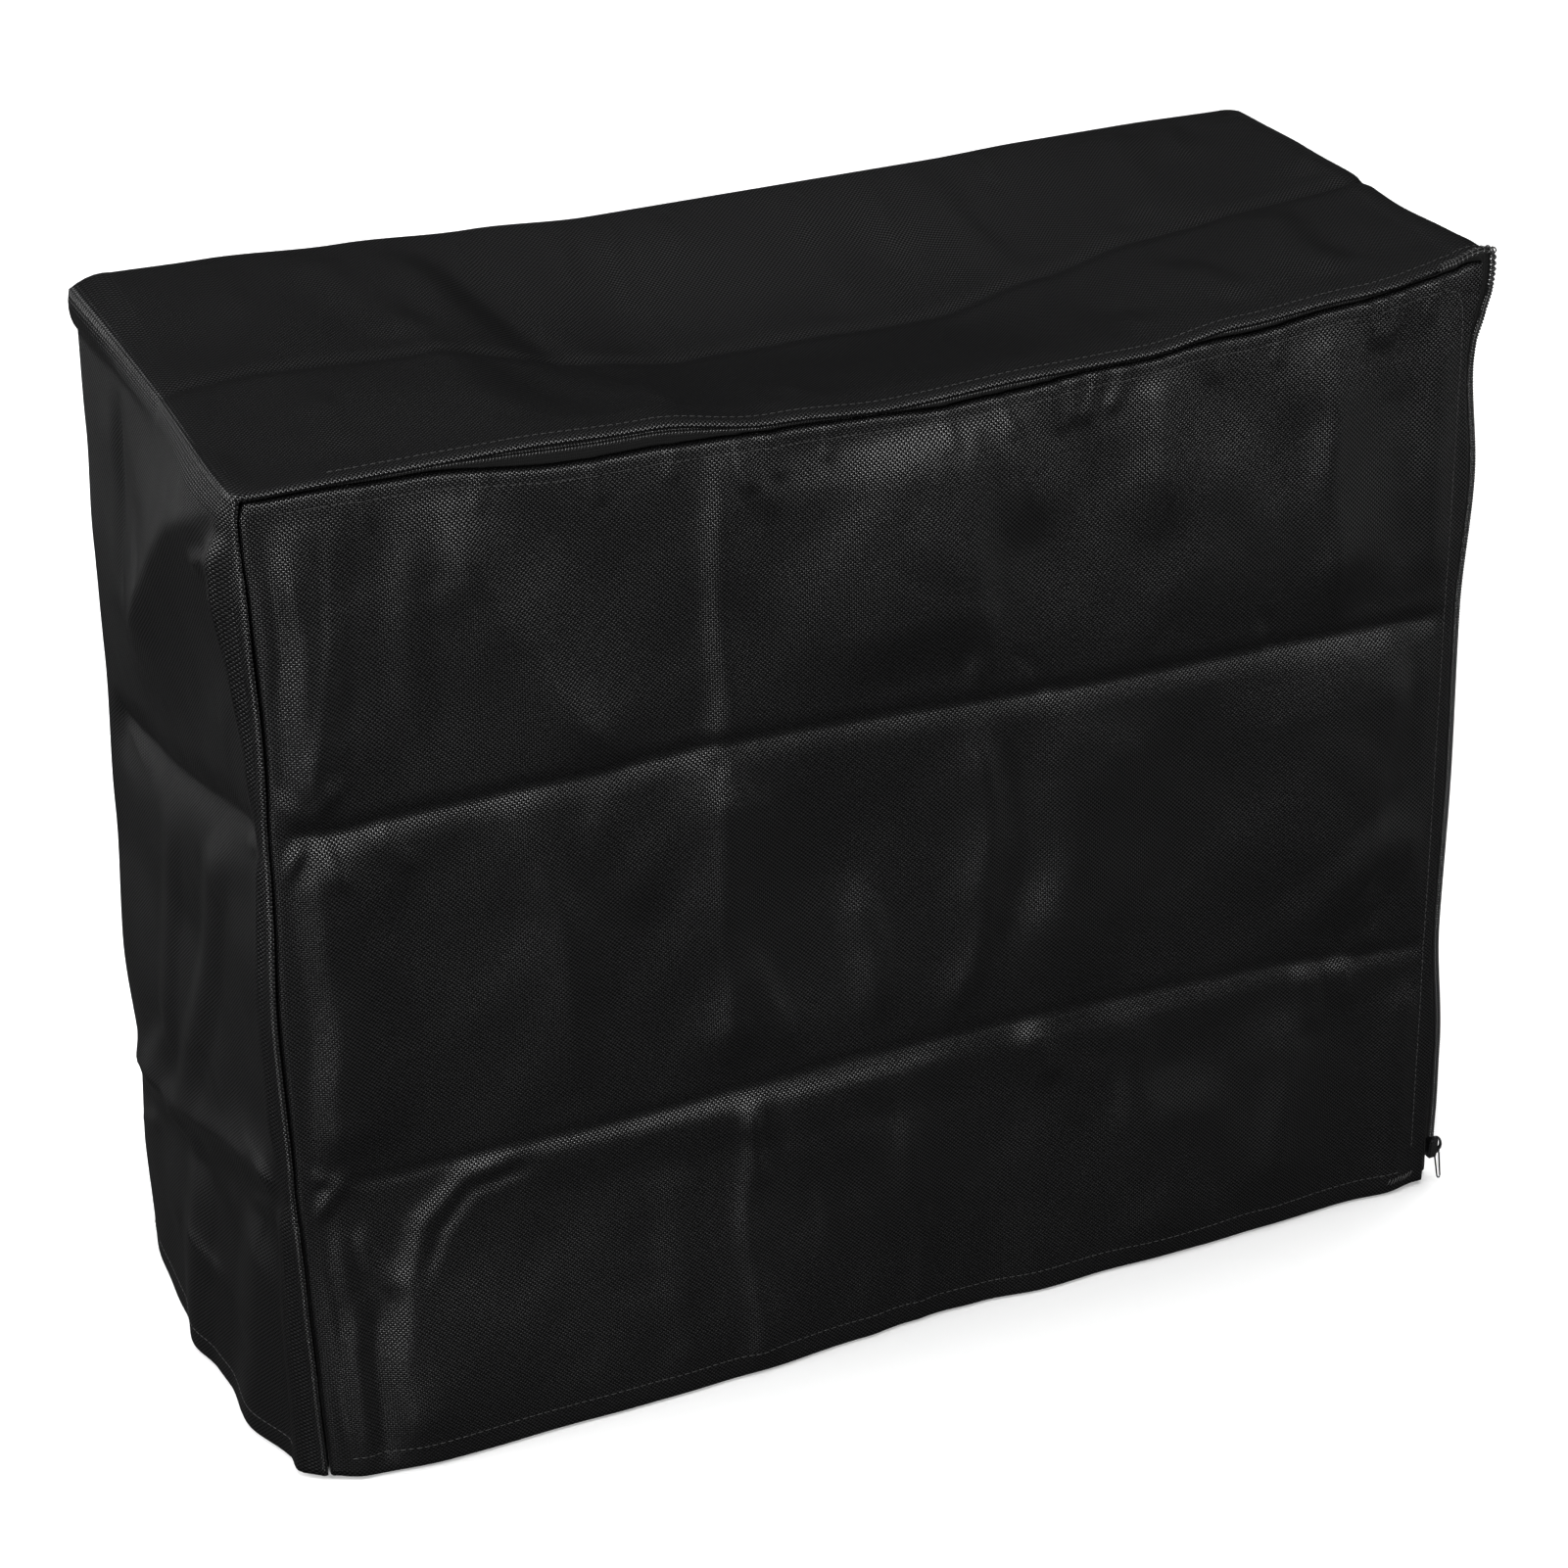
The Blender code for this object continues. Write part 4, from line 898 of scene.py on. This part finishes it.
def behind_panel(run, out, under):
    """Points behind the front panel, `out` from the strip, following the panel's folds."""
    point = strip_point(run, 0.0, out)
    reach = smooth((panel_room(point[..., 0], -point[..., 2], 0.0) + 2) / 4)
    point[..., 1] = under - DEPTH / 2 - reach * front_lift(point[..., 0], -point[..., 2])
    return point


BESIDE_CHAIN, UNDER_CHAIN = 0.8, 0.9  # where a tape's inner edge lies, from the chain's middle
PANEL_TAPE_SLACK, STRIP_TAPE_GAP = 1.2, 0.5


def make_tapes():
    """The two zip tapes, each from under the chain to its seam behind the cloth."""
    runs = strip_stations(TAPE_STEP, ZIP_START, TAPE_END)[:, None]
    shares = np.linspace(0, 1, TAPE_PARTS + 1)[None, :]
    strip_edge = strip_lift(runs, np.zeros(runs.shape))
    chain_out = strip_edge + looked_up(SLIT, runs, CHAIN_OUT)
    chain_back = looked_up(SLIT, runs, CHAIN_BACK)
    sewn_out = strip_edge - EDGE_STEP - looked_up(SLIT, runs, OPEN) - TAPE_WIDTH
    out = chain_out - BESIDE_CHAIN + (sewn_out - chain_out + BESIDE_CHAIN) * shares
    turn_under = TURN + TUCK - chain_back + PANEL_TAPE_SLACK
    under = chain_back + UNDER_CHAIN + turn_under * smooth(shares * 2)
    front = cut_tape("zip_tape_panel", runs, shares, behind_panel(runs, out, under), False)
    start = looked_up(SLIT, runs, SET_BACK)
    back = chain_back + BESIDE_CHAIN + (start + TAPE_WIDTH - chain_back) * shares
    under = strip_lift(runs, np.maximum(back, start)) - CLOTH - TAPE / 2 - STRIP_TAPE_GAP
    lift = chain_out - UNDER_CHAIN + (under - chain_out + UNDER_CHAIN) * smooth(shares * 2)
    return front, cut_tape("zip_tape_strip", runs, shares, strip_point(runs, back, lift), True)


def cut_tape(name, runs, shares, points, turned):
    cut = Cut()
    marks = np.stack(np.broadcast_arrays(runs, TAPE_WIDTH * shares), axis=-1)
    cut.join(cut.add(points, marks), turned=turned)
    return cut.sewn(name, TAPE)


def chain_point(run):
    lift = strip_lift(run, np.zeros(np.shape(run)))
    return strip_point(run, looked_up(SLIT, run, CHAIN_BACK), lift + looked_up(SLIT, run, CHAIN_OUT))


COIL_PITCH = 1.25
COIL_WIRE = 0.36
COIL_WIDE, COIL_DEEP = 0.85, 0.95  # half sizes of one turn
COIL_APART = 0.62  # from the middle of the chain to the middle of each coil
COIL_ROUND = 8  # points to a turn
COIL_SIDES = 5
CORD = 0.5
CORD_SIDES = 6


def add_tube(cut, line, across, up, radius, sides):
    """A tube along a line, between two directions square to it. It returns its end faces."""
    angles = [math.tau * k / sides for k in range(sides)]
    rings = [line + radius * (across * math.cos(a) + up * math.sin(a)) for a in angles]
    ids = cut.add(np.stack(rings, axis=1), np.zeros((len(line), sides, 2)))
    cut.join(np.concatenate([ids, ids[:, :1]], axis=1))
    return [ids[0].tolist(), ids[-1].tolist()]


def make_coil():
    """Two monofilament coils hooked into each other, as the closed zip has them, each wound
    on its filler cord."""
    places = stations(ZIP_START, CHAIN_END, COIL_PITCH / COIL_ROUND)
    coarse = stations(ZIP_START, CHAIN_END, 2.0)
    path = chain_point(coarse)
    centre = np.stack([np.interp(places, coarse, path[:, k]) for k in range(3)], axis=-1)
    tangent = unit(np.gradient(centre, axis=0))
    _x, _z, out_x, out_z = strip_base(places)
    out = unit(np.stack([out_x, np.full(len(places), -1.0), out_z], axis=-1))
    out = unit(out - tangent * (out * tangent).sum(-1)[:, None])
    aside = np.cross(tangent, out)
    cut, caps = Cut(), []
    angle = (places - places[0]) / COIL_PITCH * math.tau
    for side, phase in ((-1, 0.0), (1, math.pi)):
        turn = side * angle + phase
        across = side * COIL_APART + COIL_WIDE * np.cos(turn)
        line = centre + aside * across[:, None] + out * (COIL_DEEP * np.sin(turn))[:, None]
        way = unit(np.gradient(line, axis=0))
        normal = unit(np.cross(way, tangent))
        caps += add_tube(cut, line, normal, np.cross(way, normal), COIL_WIRE, COIL_SIDES)
        cord = centre[::4] + aside[::4] * side * COIL_APART
        add_tube(cut, cord, aside[::4], out[::4], CORD, CORD_SIDES)
    faces = np.concatenate(cut.faces).tolist() + caps
    return outward_faces(new_piece("zip_coil", np.concatenate(cut.points), faces))


def outward_faces(obj):
    work = bmesh.new()
    work.from_mesh(obj.data)
    bmesh.ops.recalc_face_normals(work, faces=work.faces)
    work.to_mesh(obj.data)
    work.free()
    return obj


def primitive(kind, name, **sizes):
    bpy.ops.object.select_all(action="DESELECT")
    getattr(bpy.ops.mesh, f"primitive_{kind}_add")(**sizes)
    obj = bpy.context.object
    obj.name = name
    obj.data.name = name
    return obj


def in_edit(obj, chosen, *steps):
    """Runs edit-mode steps on the faces that `chosen` picks by place and normal."""
    bpy.context.view_layer.objects.active = obj
    for part in (*obj.data.edges, *obj.data.vertices):
        part.select = False
    for polygon in obj.data.polygons:
        polygon.select = bool(chosen(polygon))
    bpy.ops.object.mode_set(mode="EDIT")
    bpy.ops.mesh.select_mode(type="FACE")
    for step in steps:
        step()
    bpy.ops.object.mode_set(mode="OBJECT")


def model_stitch(length, thread):
    """One stitch lying along X, its ends diving into the cloth."""
    flat, dive, sink, taper = 0.62 * length, 0.17 * length, 0.75 * thread, 0.6
    stitch = primitive("cylinder", "stitch", vertices=6, radius=thread / 2, depth=flat,
                       rotation=(0, math.pi / 2, 0))
    bpy.ops.object.transform_apply(rotation=True)
    for end in (-1, 1):
        in_edit(
            stitch,
            lambda face, end=end: face.normal.x * end > 0.9,
            lambda end=end: bpy.ops.mesh.extrude_region_move(
                TRANSFORM_OT_translate={"value": (end * dive, 0, -sink)}),
            lambda: bpy.ops.transform.resize(value=(taper, taper, taper)),
        )
    points = np.array([vert.co[:] for vert in stitch.data.vertices])
    faces = [tuple(face.vertices) for face in stitch.data.polygons]
    bpy.data.objects.remove(stitch)
    return points, faces


def sew(name, stitch, rows):
    """Copies one stitch to every place of the rows, each a (point, along, outward) set."""
    points, faces = stitch
    all_points, all_faces = [], []
    for place, along, outward in rows:
        along = unit(along - outward * (along * outward).sum(-1)[:, None])
        axes = np.stack([along, np.cross(outward, along), outward], axis=-1)
        for copy in np.einsum("nij,vj->nvi", axes, points) + place[:, None, :]:
            first = len(all_points)
            all_points.extend(copy)
            all_faces.extend(tuple(first + i for i in face) for face in faces)
    return outward_faces(new_piece(name, np.array(all_points), all_faces))


def stitch_row(surface, facing, line):
    """Places of stitches along a line of surface coordinates."""
    line = np.array(line, float)
    fine = np.concatenate([
        np.linspace(a, b, max(2, int(np.hypot(*(b - a)))), endpoint=False)
        for a, b in zip(line, line[1:])] + [line[-1:]])
    track = surface(fine[:, 0], fine[:, 1])
    way = np.concatenate([[0], np.cumsum(np.linalg.norm(np.diff(track, axis=0), axis=1))])
    at = np.arange(STITCH / 2, way[-1] - STITCH / 2, STITCH)
    a, b = (np.interp(at, way, fine[:, k]) for k in (0, 1))
    point, normal = on_cloth(surface, facing, a, b)
    ahead, behind = (np.stack([np.interp(at + step, way, track[:, k]) for k in range(3)], axis=-1)
                     for step in (0.5, -0.5))
    return point + normal * (CLOTH / 2 + THREAD * 0.2), unit(ahead - behind), normal


def make_stitching():
    """The rows of stitches round the front panel, along the hems and beside the zip."""
    stitch = model_stitch(STITCH_LENGTH, THREAD)
    inside, beside = 4.0, 5.0  # from a panel's turned edge, and from the strip's beside the zip
    hem = [(x, DROP - HEM + STITCH_MARGIN) for x in (-240.0, 240.0)]
    tops = [(x, front_top(x) + inside) for x in np.linspace(-236.0, 236.0, 60)]
    corner = [(241.5, tops[-1][1] + 2.2), (243.6, tops[-1][1] + 8.0)]
    right = [(WIDTH / 2 - EDGE_STEP - inside - 0.6, down) for down in np.linspace(24, 412, 60)]
    runs = np.linspace(ZIP_START + 8, WHOLE_RUN - 16, 260)
    zip_seam = list(zip(runs, looked_up(SLIT, runs, SET_BACK) + beside))
    hems = [[(run, 12.0), (run, DEPTH - 10.0)]
            for run in (HEM - STITCH_MARGIN, WHOLE_RUN - HEM + STITCH_MARGIN)]
    return [sew(name, stitch, [stitch_row(surface, facing, line) for line in lines])
            for name, surface, facing, lines in (
                ("panel_stitches", front_surface, -1, ([*tops, *corner, *right], hem)),
                ("back_stitches", back_surface, 1, (hem,)),
                ("strip_stitches", band_surface, 1, (*hems, zip_seam)))]


def make_bar_tack():
    """The close, slanting stitches that lock the end of the front hem."""
    count, start, pitch = 9, 233.0, 1.45
    places = np.arange(count) * pitch
    down = np.full(count, DROP - HEM / 2) + 0.3 * np.sin(places)
    point, normal = on_cloth(front_surface, -1, start + places, down)
    along = np.broadcast_to([0.45, 0.0, 0.9], (count, 3))
    stitch = model_stitch(3.4, 0.45)
    return sew("bar_tack", stitch, [(point + normal * (CLOTH / 2 + 0.2), along, normal)])


def model_puller(tab, slider):
    """A round eye on the slider's arch and, under it, a wire loop drawn out to a blunt
    point. It hangs where the plain tab hangs, its tip swung to the front."""
    low, high = world_box(tab)
    lean = math.radians(-14.0)
    # In metres, as the primitives are added at their places
    wire, half, eye, eye_deep = 0.00042, 0.00112, 0.0015, 0.0017
    length = (high[2] - low[2]) / math.cos(lean) - 2 * eye
    loop = primitive("torus", "puller_loop", major_radius=half, minor_radius=wire,
                     major_segments=28, minor_segments=8, rotation=(math.pi / 2, 0, 0))
    bpy.ops.object.transform_apply(rotation=True)
    in_edit(
        loop,
        lambda face: face.center.z < -0.0001,
        lambda: bpy.ops.transform.translate(value=(0, 0, 2 * (half + wire) - length)),
        lambda: bpy.ops.transform.resize(value=(0.66, 1, 1)),
    )
    loop.location = (0, 0, -2 * eye - half + wire)
    disc = primitive("cylinder", "puller_eye", vertices=20, radius=eye, depth=eye_deep,
                     rotation=(math.pi / 2, 0, 0), location=(0, 0, -eye))
    bpy.ops.object.transform_apply(rotation=True)
    in_edit(disc, lambda face: abs(face.normal.y) > 0.9,
            lambda: bpy.ops.mesh.inset(thickness=0.0005, depth=-0.0003))
    bpy.ops.object.select_all(action="DESELECT")
    for piece in (loop, disc):
        piece.select_set(True)
    bpy.context.view_layer.objects.active = loop
    bpy.ops.object.transform_apply(location=True)
    bpy.ops.object.join()
    bpy.ops.object.shade_smooth_by_angle(angle=math.radians(40))
    loop.rotation_euler = (lean, 0, 0)
    loop.location = ((low[0] + high[0]) / 2, sum(corner[1] for corner in world_box(slider)) / 2,
                     high[2] + wire)
    bpy.ops.object.transform_apply(location=True, rotation=True)
    return loop


def world_box(obj):
    corners = np.array([obj.matrix_world @ Vector(corner) for corner in obj.bound_box])
    return corners.min(axis=0), corners.max(axis=0)


def linear(hex_colour):
    """An sRGB hex colour as linear values."""
    parts = [int(hex_colour[k:k + 2], 16) / 255 for k in (1, 3, 5)]
    return (*(c / 12.92 if c <= 0.04045 else ((c + 0.055) / 1.055) ** 2.4 for c in parts), 1.0)


def set_inputs(tree, node, inputs):
    """Gives each input a value, or links another node's socket to it."""
    for name, value in inputs.items():
        if isinstance(value, bpy.types.NodeSocket):
            tree.links.new(value, node.inputs[name])
        else:
            node.inputs[name].default_value = value


def add_node(tree, kind, settings=None, inputs=None):
    """Adds a node with its settings and inputs."""
    node = tree.nodes.new(kind)
    for name, value in (settings or {}).items():
        setattr(node, name, value)
    set_inputs(tree, node, inputs or {})
    return node


def new_finish(name, cloth=False):
    """A material with its tree and shader, and the place that its pattern follows: the cloth's
    own coordinates, or the piece's."""
    material = bpy.data.materials.new(name)
    material.use_nodes = True
    tree = material.node_tree
    kind, settings, output = (("ShaderNodeUVMap", {"uv_map": "cloth"}, "UV") if cloth
                              else ("ShaderNodeTexCoord", None, "Object"))
    place = add_node(tree, kind, settings).outputs[output]
    return material, tree, tree.nodes["Principled BSDF"], place


def between(tree, pattern, tones, start=0.0):
    """The colour that runs from one tone to the other as the pattern rises above `start`."""
    ramp = add_node(tree, "ShaderNodeValToRGB", None, {"Fac": pattern})
    for element, tone in zip(ramp.color_ramp.elements, tones):
        element.color = linear(tone)
    ramp.color_ramp.elements[0].position = start
    return ramp.outputs["Color"]


def clouded(name, to_the_metre, detail, tones, roughness, film=None):
    """A finish with so many clouds to the metre, from one tone to another. A film on the cloth
    has a relief too, as (strength, height)."""
    material, tree, shader, place = new_finish(name, cloth=film is not None)
    cloud = add_node(tree, "ShaderNodeTexNoise", None,
                     {"Vector": place, "Scale": to_the_metre, "Detail": detail}).outputs["Fac"]
    set_inputs(tree, shader, {"Base Color": between(tree, cloud, tones), "Roughness": roughness})
    if film:
        bump = add_node(tree, "ShaderNodeBump", None,
                        {"Strength": film[0], "Distance": film[1], "Height": cloud})
        set_inputs(tree, shader, {"Normal": bump.outputs["Normal"]})
    return material


# True thread spacing is 0.67 mm on the cloth and finer on the tape, too fine to show, so both
# weaves are drawn coarser. In metres.
WEAVE_SPACING, TAPE_SPACING = 0.0009, 0.0008


def woven(tree, spacing, uv):
    """Height of a plain weave at the cloth's own coordinates, and where the warp is on top."""
    scaled = add_node(tree, "ShaderNodeVectorMath", {"operation": "SCALE"},
                      {0: uv, "Scale": math.pi / spacing}).outputs[0]
    parts = add_node(tree, "ShaderNodeSeparateXYZ", None, {0: scaled}).outputs

    def maths(operation, *values):
        node = add_node(tree, "ShaderNodeMath", {"operation": operation}, dict(enumerate(values)))
        return node.outputs[0]

    warp, weft = maths("COSINE", parts[0]), maths("COSINE", parts[1])
    check = maths("MULTIPLY", warp, weft)
    warp_height = maths("ADD", maths("ABSOLUTE", warp), check)
    weft_height = maths("SUBTRACT", maths("ABSOLUTE", weft), check)
    height = maths("MULTIPLY", maths("MAXIMUM", warp_height, weft_height), 0.5)
    return height, maths("MULTIPLY_ADD", check, 0.5, 0.5)


def oxford_cloth():
    """600-denier polyester Oxford: plain-woven from flat filament yarn and calendered, which
    gives the eye a fine grid of small semi-gloss beads with black gaps between them. The base
    colour has a painted glint on the crowns where the warp is on top and painted shade in the
    gaps between the yarns and where the weft is on top; the slubs in it are real."""
    material, tree, shader, uv = new_finish("polyester_oxford_weave", cloth=True)
    height, over = woven(tree, WEAVE_SPACING, uv)
    # Slubs every millimetre or so, and patches as broad as a thumb that differ in gloss
    slubs, patches = (
        add_node(tree, "ShaderNodeTexNoise", None,
                 {"Vector": uv, "Scale": to_the_metre, "Detail": detail}).outputs["Fac"]
        for to_the_metre, detail in ((900.0, 2.0), (22.0, 3.0)))
    # Painted glint on the warp-over crowns and painted shade in the gaps and on the weft, with the
    # real slubs added
    glint_shade_and_slubs = add_node(tree, "ShaderNodeMath", {"operation": "MULTIPLY"}, {0: height, 1: over})
    glint_shade_and_slubs = add_node(tree, "ShaderNodeMath", {"operation": "MULTIPLY_ADD"},
                   {0: glint_shade_and_slubs.outputs[0], 1: 0.7, 2: slubs}).outputs[0]
    rough = add_node(tree, "ShaderNodeMapRange", None,
                     {"Value": patches, "To Min": 0.30, "To Max": 0.35})
    gloss = add_node(tree, "ShaderNodeMapRange", None,
                     {"Value": over, "From Min": 0.35, "From Max": 0.9,
                      "To Min": 0.04, "To Max": 0.95})
    bump = add_node(tree, "ShaderNodeBump", None,
                    {"Strength": 1.0, "Distance": 0.00018, "Height": height})
    set_inputs(tree, shader, {
        # Base colour: painted glint and painted shade of the weave, with real slubs
        "Base Color": between(tree, glint_shade_and_slubs, ("#040404", "#0C0C0D"), 0.45),
        "Roughness": rough.outputs["Result"],
        "Specular IOR Level": gloss.outputs["Result"],
        "Normal": bump.outputs["Normal"],
    })
    return material


def coated_back():
    """Polyurethane coating knifed on to the back of the cloth: a dull, closed, slightly
    orange-peeled film."""
    return clouded("polyurethane_coating", 450.0, 3.0, ("#0F0F10", "#1C1C1D"), 0.62,
                   film=(0.2, 0.0002))


def zip_tape_weave():
    """Polyester zip tape, woven narrow: matt, flat and a shade greyer than the cloth."""
    material, tree, shader, uv = new_finish("polyester_zip_tape", cloth=True)
    height, _over = woven(tree, TAPE_SPACING, uv)
    bump = add_node(tree, "ShaderNodeBump", None,
                    {"Strength": 0.4, "Distance": 0.0003, "Height": height})
    set_inputs(tree, shader, {
        # Base colour: yarn crowns lighter, with painted shade in the gaps between the yarns
        "Base Color": between(tree, height, ("#070707", "#131313")),
        "Roughness": 0.9,
        "Specular IOR Level": 0.15,
        "Normal": bump.outputs["Normal"],
    })
    return material


def coil_nylon():
    """Nylon monofilament, drawn and heat-set into a coil: smooth, so each turn has a glint."""
    return clouded("nylon_monofilament", 300.0, 2.0, ("#141414", "#262626"), 0.28)


def sewing_thread():
    """Spun polyester thread, twisted: a matt black line a little lighter than the cloth."""
    return clouded("polyester_thread", 2600.0, 1.0, ("#131313", "#2E2E2E"), 0.55)


def nickel(name, low, high, tone):
    """Black nickel plate on zinc or wire: dark and bright, with fine tumbling marks that blur
    the gloss."""
    material, tree, shader, place = new_finish(name)
    marks = add_node(tree, "ShaderNodeTexNoise", None,
                     {"Vector": place, "Scale": 1500.0, "Detail": 4.0}).outputs["Fac"]
    rough = add_node(tree, "ShaderNodeMapRange", None,
                     {"Value": marks, "To Min": low, "To Max": high}).outputs["Result"]
    set_inputs(tree, shader, {"Base Color": linear(tone), "Metallic": 1.0, "Roughness": rough})
    return material


LAMPS = (
    # name, place, aimed at, side, watts, whether it is mirrored in the cloth
    ("key", (-1.8, -3.5, 0.91), (0, -0.1, -0.19), 0.9, 190, True),
    ("left", (-2.6, 0.2, 1.3), (-0.2, 0, -0.15), 1.6, 72, True),
    ("behind_left", (-2.2, 2.9, 0.4), (-0.2, 0, -0.15), 1.4, 17, True),
    ("right", (3.4, -2.2, 0.3), (0.2, -0.1, -0.19), 1.2, 42, True),
    ("sheen", (0.3, 0.6, 3.2), (0, 0, -0.1), 3.2, 26, True),
    ("edges", (1.0, -1.6, 2.4), (0, -0.1, -0.05), 0.8, 9, True),
    ("top", (0.3, 0.6, 3.3), (0, 0, -0.1), 3.6, 205, False),
)


def set_the_lamps():
    """Square soft lamps, placed in metres."""
    for name, place, target, side, power, mirrored in LAMPS:
        lamp = bpy.data.lights.new(name, "AREA")
        lamp.size = side
        lamp.energy = power
        obj = bpy.data.objects.new(name, lamp)
        obj.location = place
        obj.rotation_euler = (Vector(target) - Vector(place)).to_track_quat("-Z", "Y").to_euler()
        obj.visible_glossy = mirrored
        bpy.context.collection.objects.link(obj)


def set_the_stage(floor_height):
    floor = primitive("plane", "floor", size=5.0, location=(0, 0, floor_height))
    material, tree, shader, _place = new_finish("studio_floor")
    set_inputs(tree, shader, {"Base Color": linear("#F0F0F0"), "Roughness": 0.9})
    floor.data.materials.append(material)
    floor.visible_glossy = False  # so the pale floor is not mirrored in the black cloth
    world = bpy.data.worlds.new("studio")
    world.use_nodes = True
    tree = world.node_tree
    # The backdrop looks white where it is seen, and adds little light of its own.
    seen = add_node(tree, "ShaderNodeLightPath").outputs["Is Camera Ray"]
    power = add_node(tree, "ShaderNodeMapRange", None,
                     {"Value": seen, "To Min": 0.05, "To Max": 1.0}).outputs["Result"]
    set_inputs(tree, tree.nodes["Background"], {"Color": (1, 1, 1, 1), "Strength": power})
    bpy.context.scene.world = world
    bpy.context.scene.view_settings.view_transform = "Standard"


CAMERA_PLACE = (-0.5745, -1.3937, 0.6250)
CAMERA_AZIMUTH = -22.2083
CAMERA_ELEVATION = 28.6765
CAMERA_ROLL = -1.2951
CAMERA_LENS = 95.386


def set_the_camera():
    azimuth, elevation, roll = map(math.radians, (CAMERA_AZIMUTH, CAMERA_ELEVATION, CAMERA_ROLL))
    back = Vector((math.sin(azimuth) * math.cos(elevation), -math.cos(azimuth) * math.cos(elevation),
                   math.sin(elevation)))
    right = (-back).cross(Vector((0, 0, 1))).normalized()
    up = right.cross(-back)
    turned_right = right * math.cos(roll) + up * math.sin(roll)
    turned_up = up * math.cos(roll) - right * math.sin(roll)
    camera = bpy.data.cameras.new("camera")
    camera.lens = CAMERA_LENS
    camera.sensor_width = 36.0
    camera.clip_start = 0.05
    obj = bpy.data.objects.new("camera", camera)
    axes = Matrix((turned_right, turned_up, back)).transposed().to_4x4()
    obj.matrix_world = Matrix.Translation(CAMERA_PLACE) @ axes
    bpy.context.collection.objects.link(obj)
    bpy.context.scene.camera = obj


def sew_the_cover(cloth, coating, tape, thread):
    """Every soft piece, in its finish: band, front, back, the two tapes, coil and stitches."""
    band = make_band()
    front = make_panel("front_cloth", PANEL_STEP, 0.0, (PACKING_UPPER, PACKING_LOWER), front_lift)
    back = make_panel("back_cloth", BACK_STEP, DEPTH, (PACKING_UPPER_BACK, PACKING_LOWER_BACK),
                      back_lift)
    tapes = make_tapes()
    for piece in (band, front, back):
        piece.data.materials.append(cloth)
        piece.data.materials.append(coating)
    for piece in tapes:
        piece.data.materials.append(tape)
        piece.modifiers[0].material_offset = 0
    for piece in (band, front, back, *tapes):
        applied(piece)
    coil = make_coil()
    coil.data.materials.append(coil_nylon())
    stitching = [*make_stitching(), make_bar_tack()]
    for piece in stitching:
        piece.data.materials.append(thread)
    return band, front, back, tapes, coil, stitching


def main():
    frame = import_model()
    cad_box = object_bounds()
    body = sorted(frame["bodies"])[0]
    band, front, back, tapes, coil, stitching = sew_the_cover(
        oxford_cloth(), coated_back(), zip_tape_weave(), sewing_thread())
    for piece, node, slot in (
        (band, "gusset_band", "oxford_cloth"), (front, "front_panel", "oxford_cloth"),
        (back, "back_panel", "oxford_cloth"), (tapes[0], "zip_tape_front", "zip_tape"),
        (tapes[1], "zip_tape_band", "zip_tape"), (coil, "zip_chain", "zip_coil"),
    ):
        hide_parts(node)
    for piece in (band, front, back, *tapes, coil, *stitching):
        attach(piece, body)
    slider = frame["nodes"]["zip_slider"]
    slider.data.materials.clear()
    slider.data.materials.append(nickel("black_nickel_cast", 0.2, 0.36, "#77777A"))
    puller = model_puller(frame["nodes"]["zip_puller"], slider)
    puller.data.materials.append(nickel("black_nickel_wire", 0.12, 0.26, "#6A6A6D"))
    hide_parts("zip_puller")
    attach(puller, body)
    set_the_stage(cad_box[0][2] - 0.0004)
    set_the_lamps()
    set_the_camera()


main()
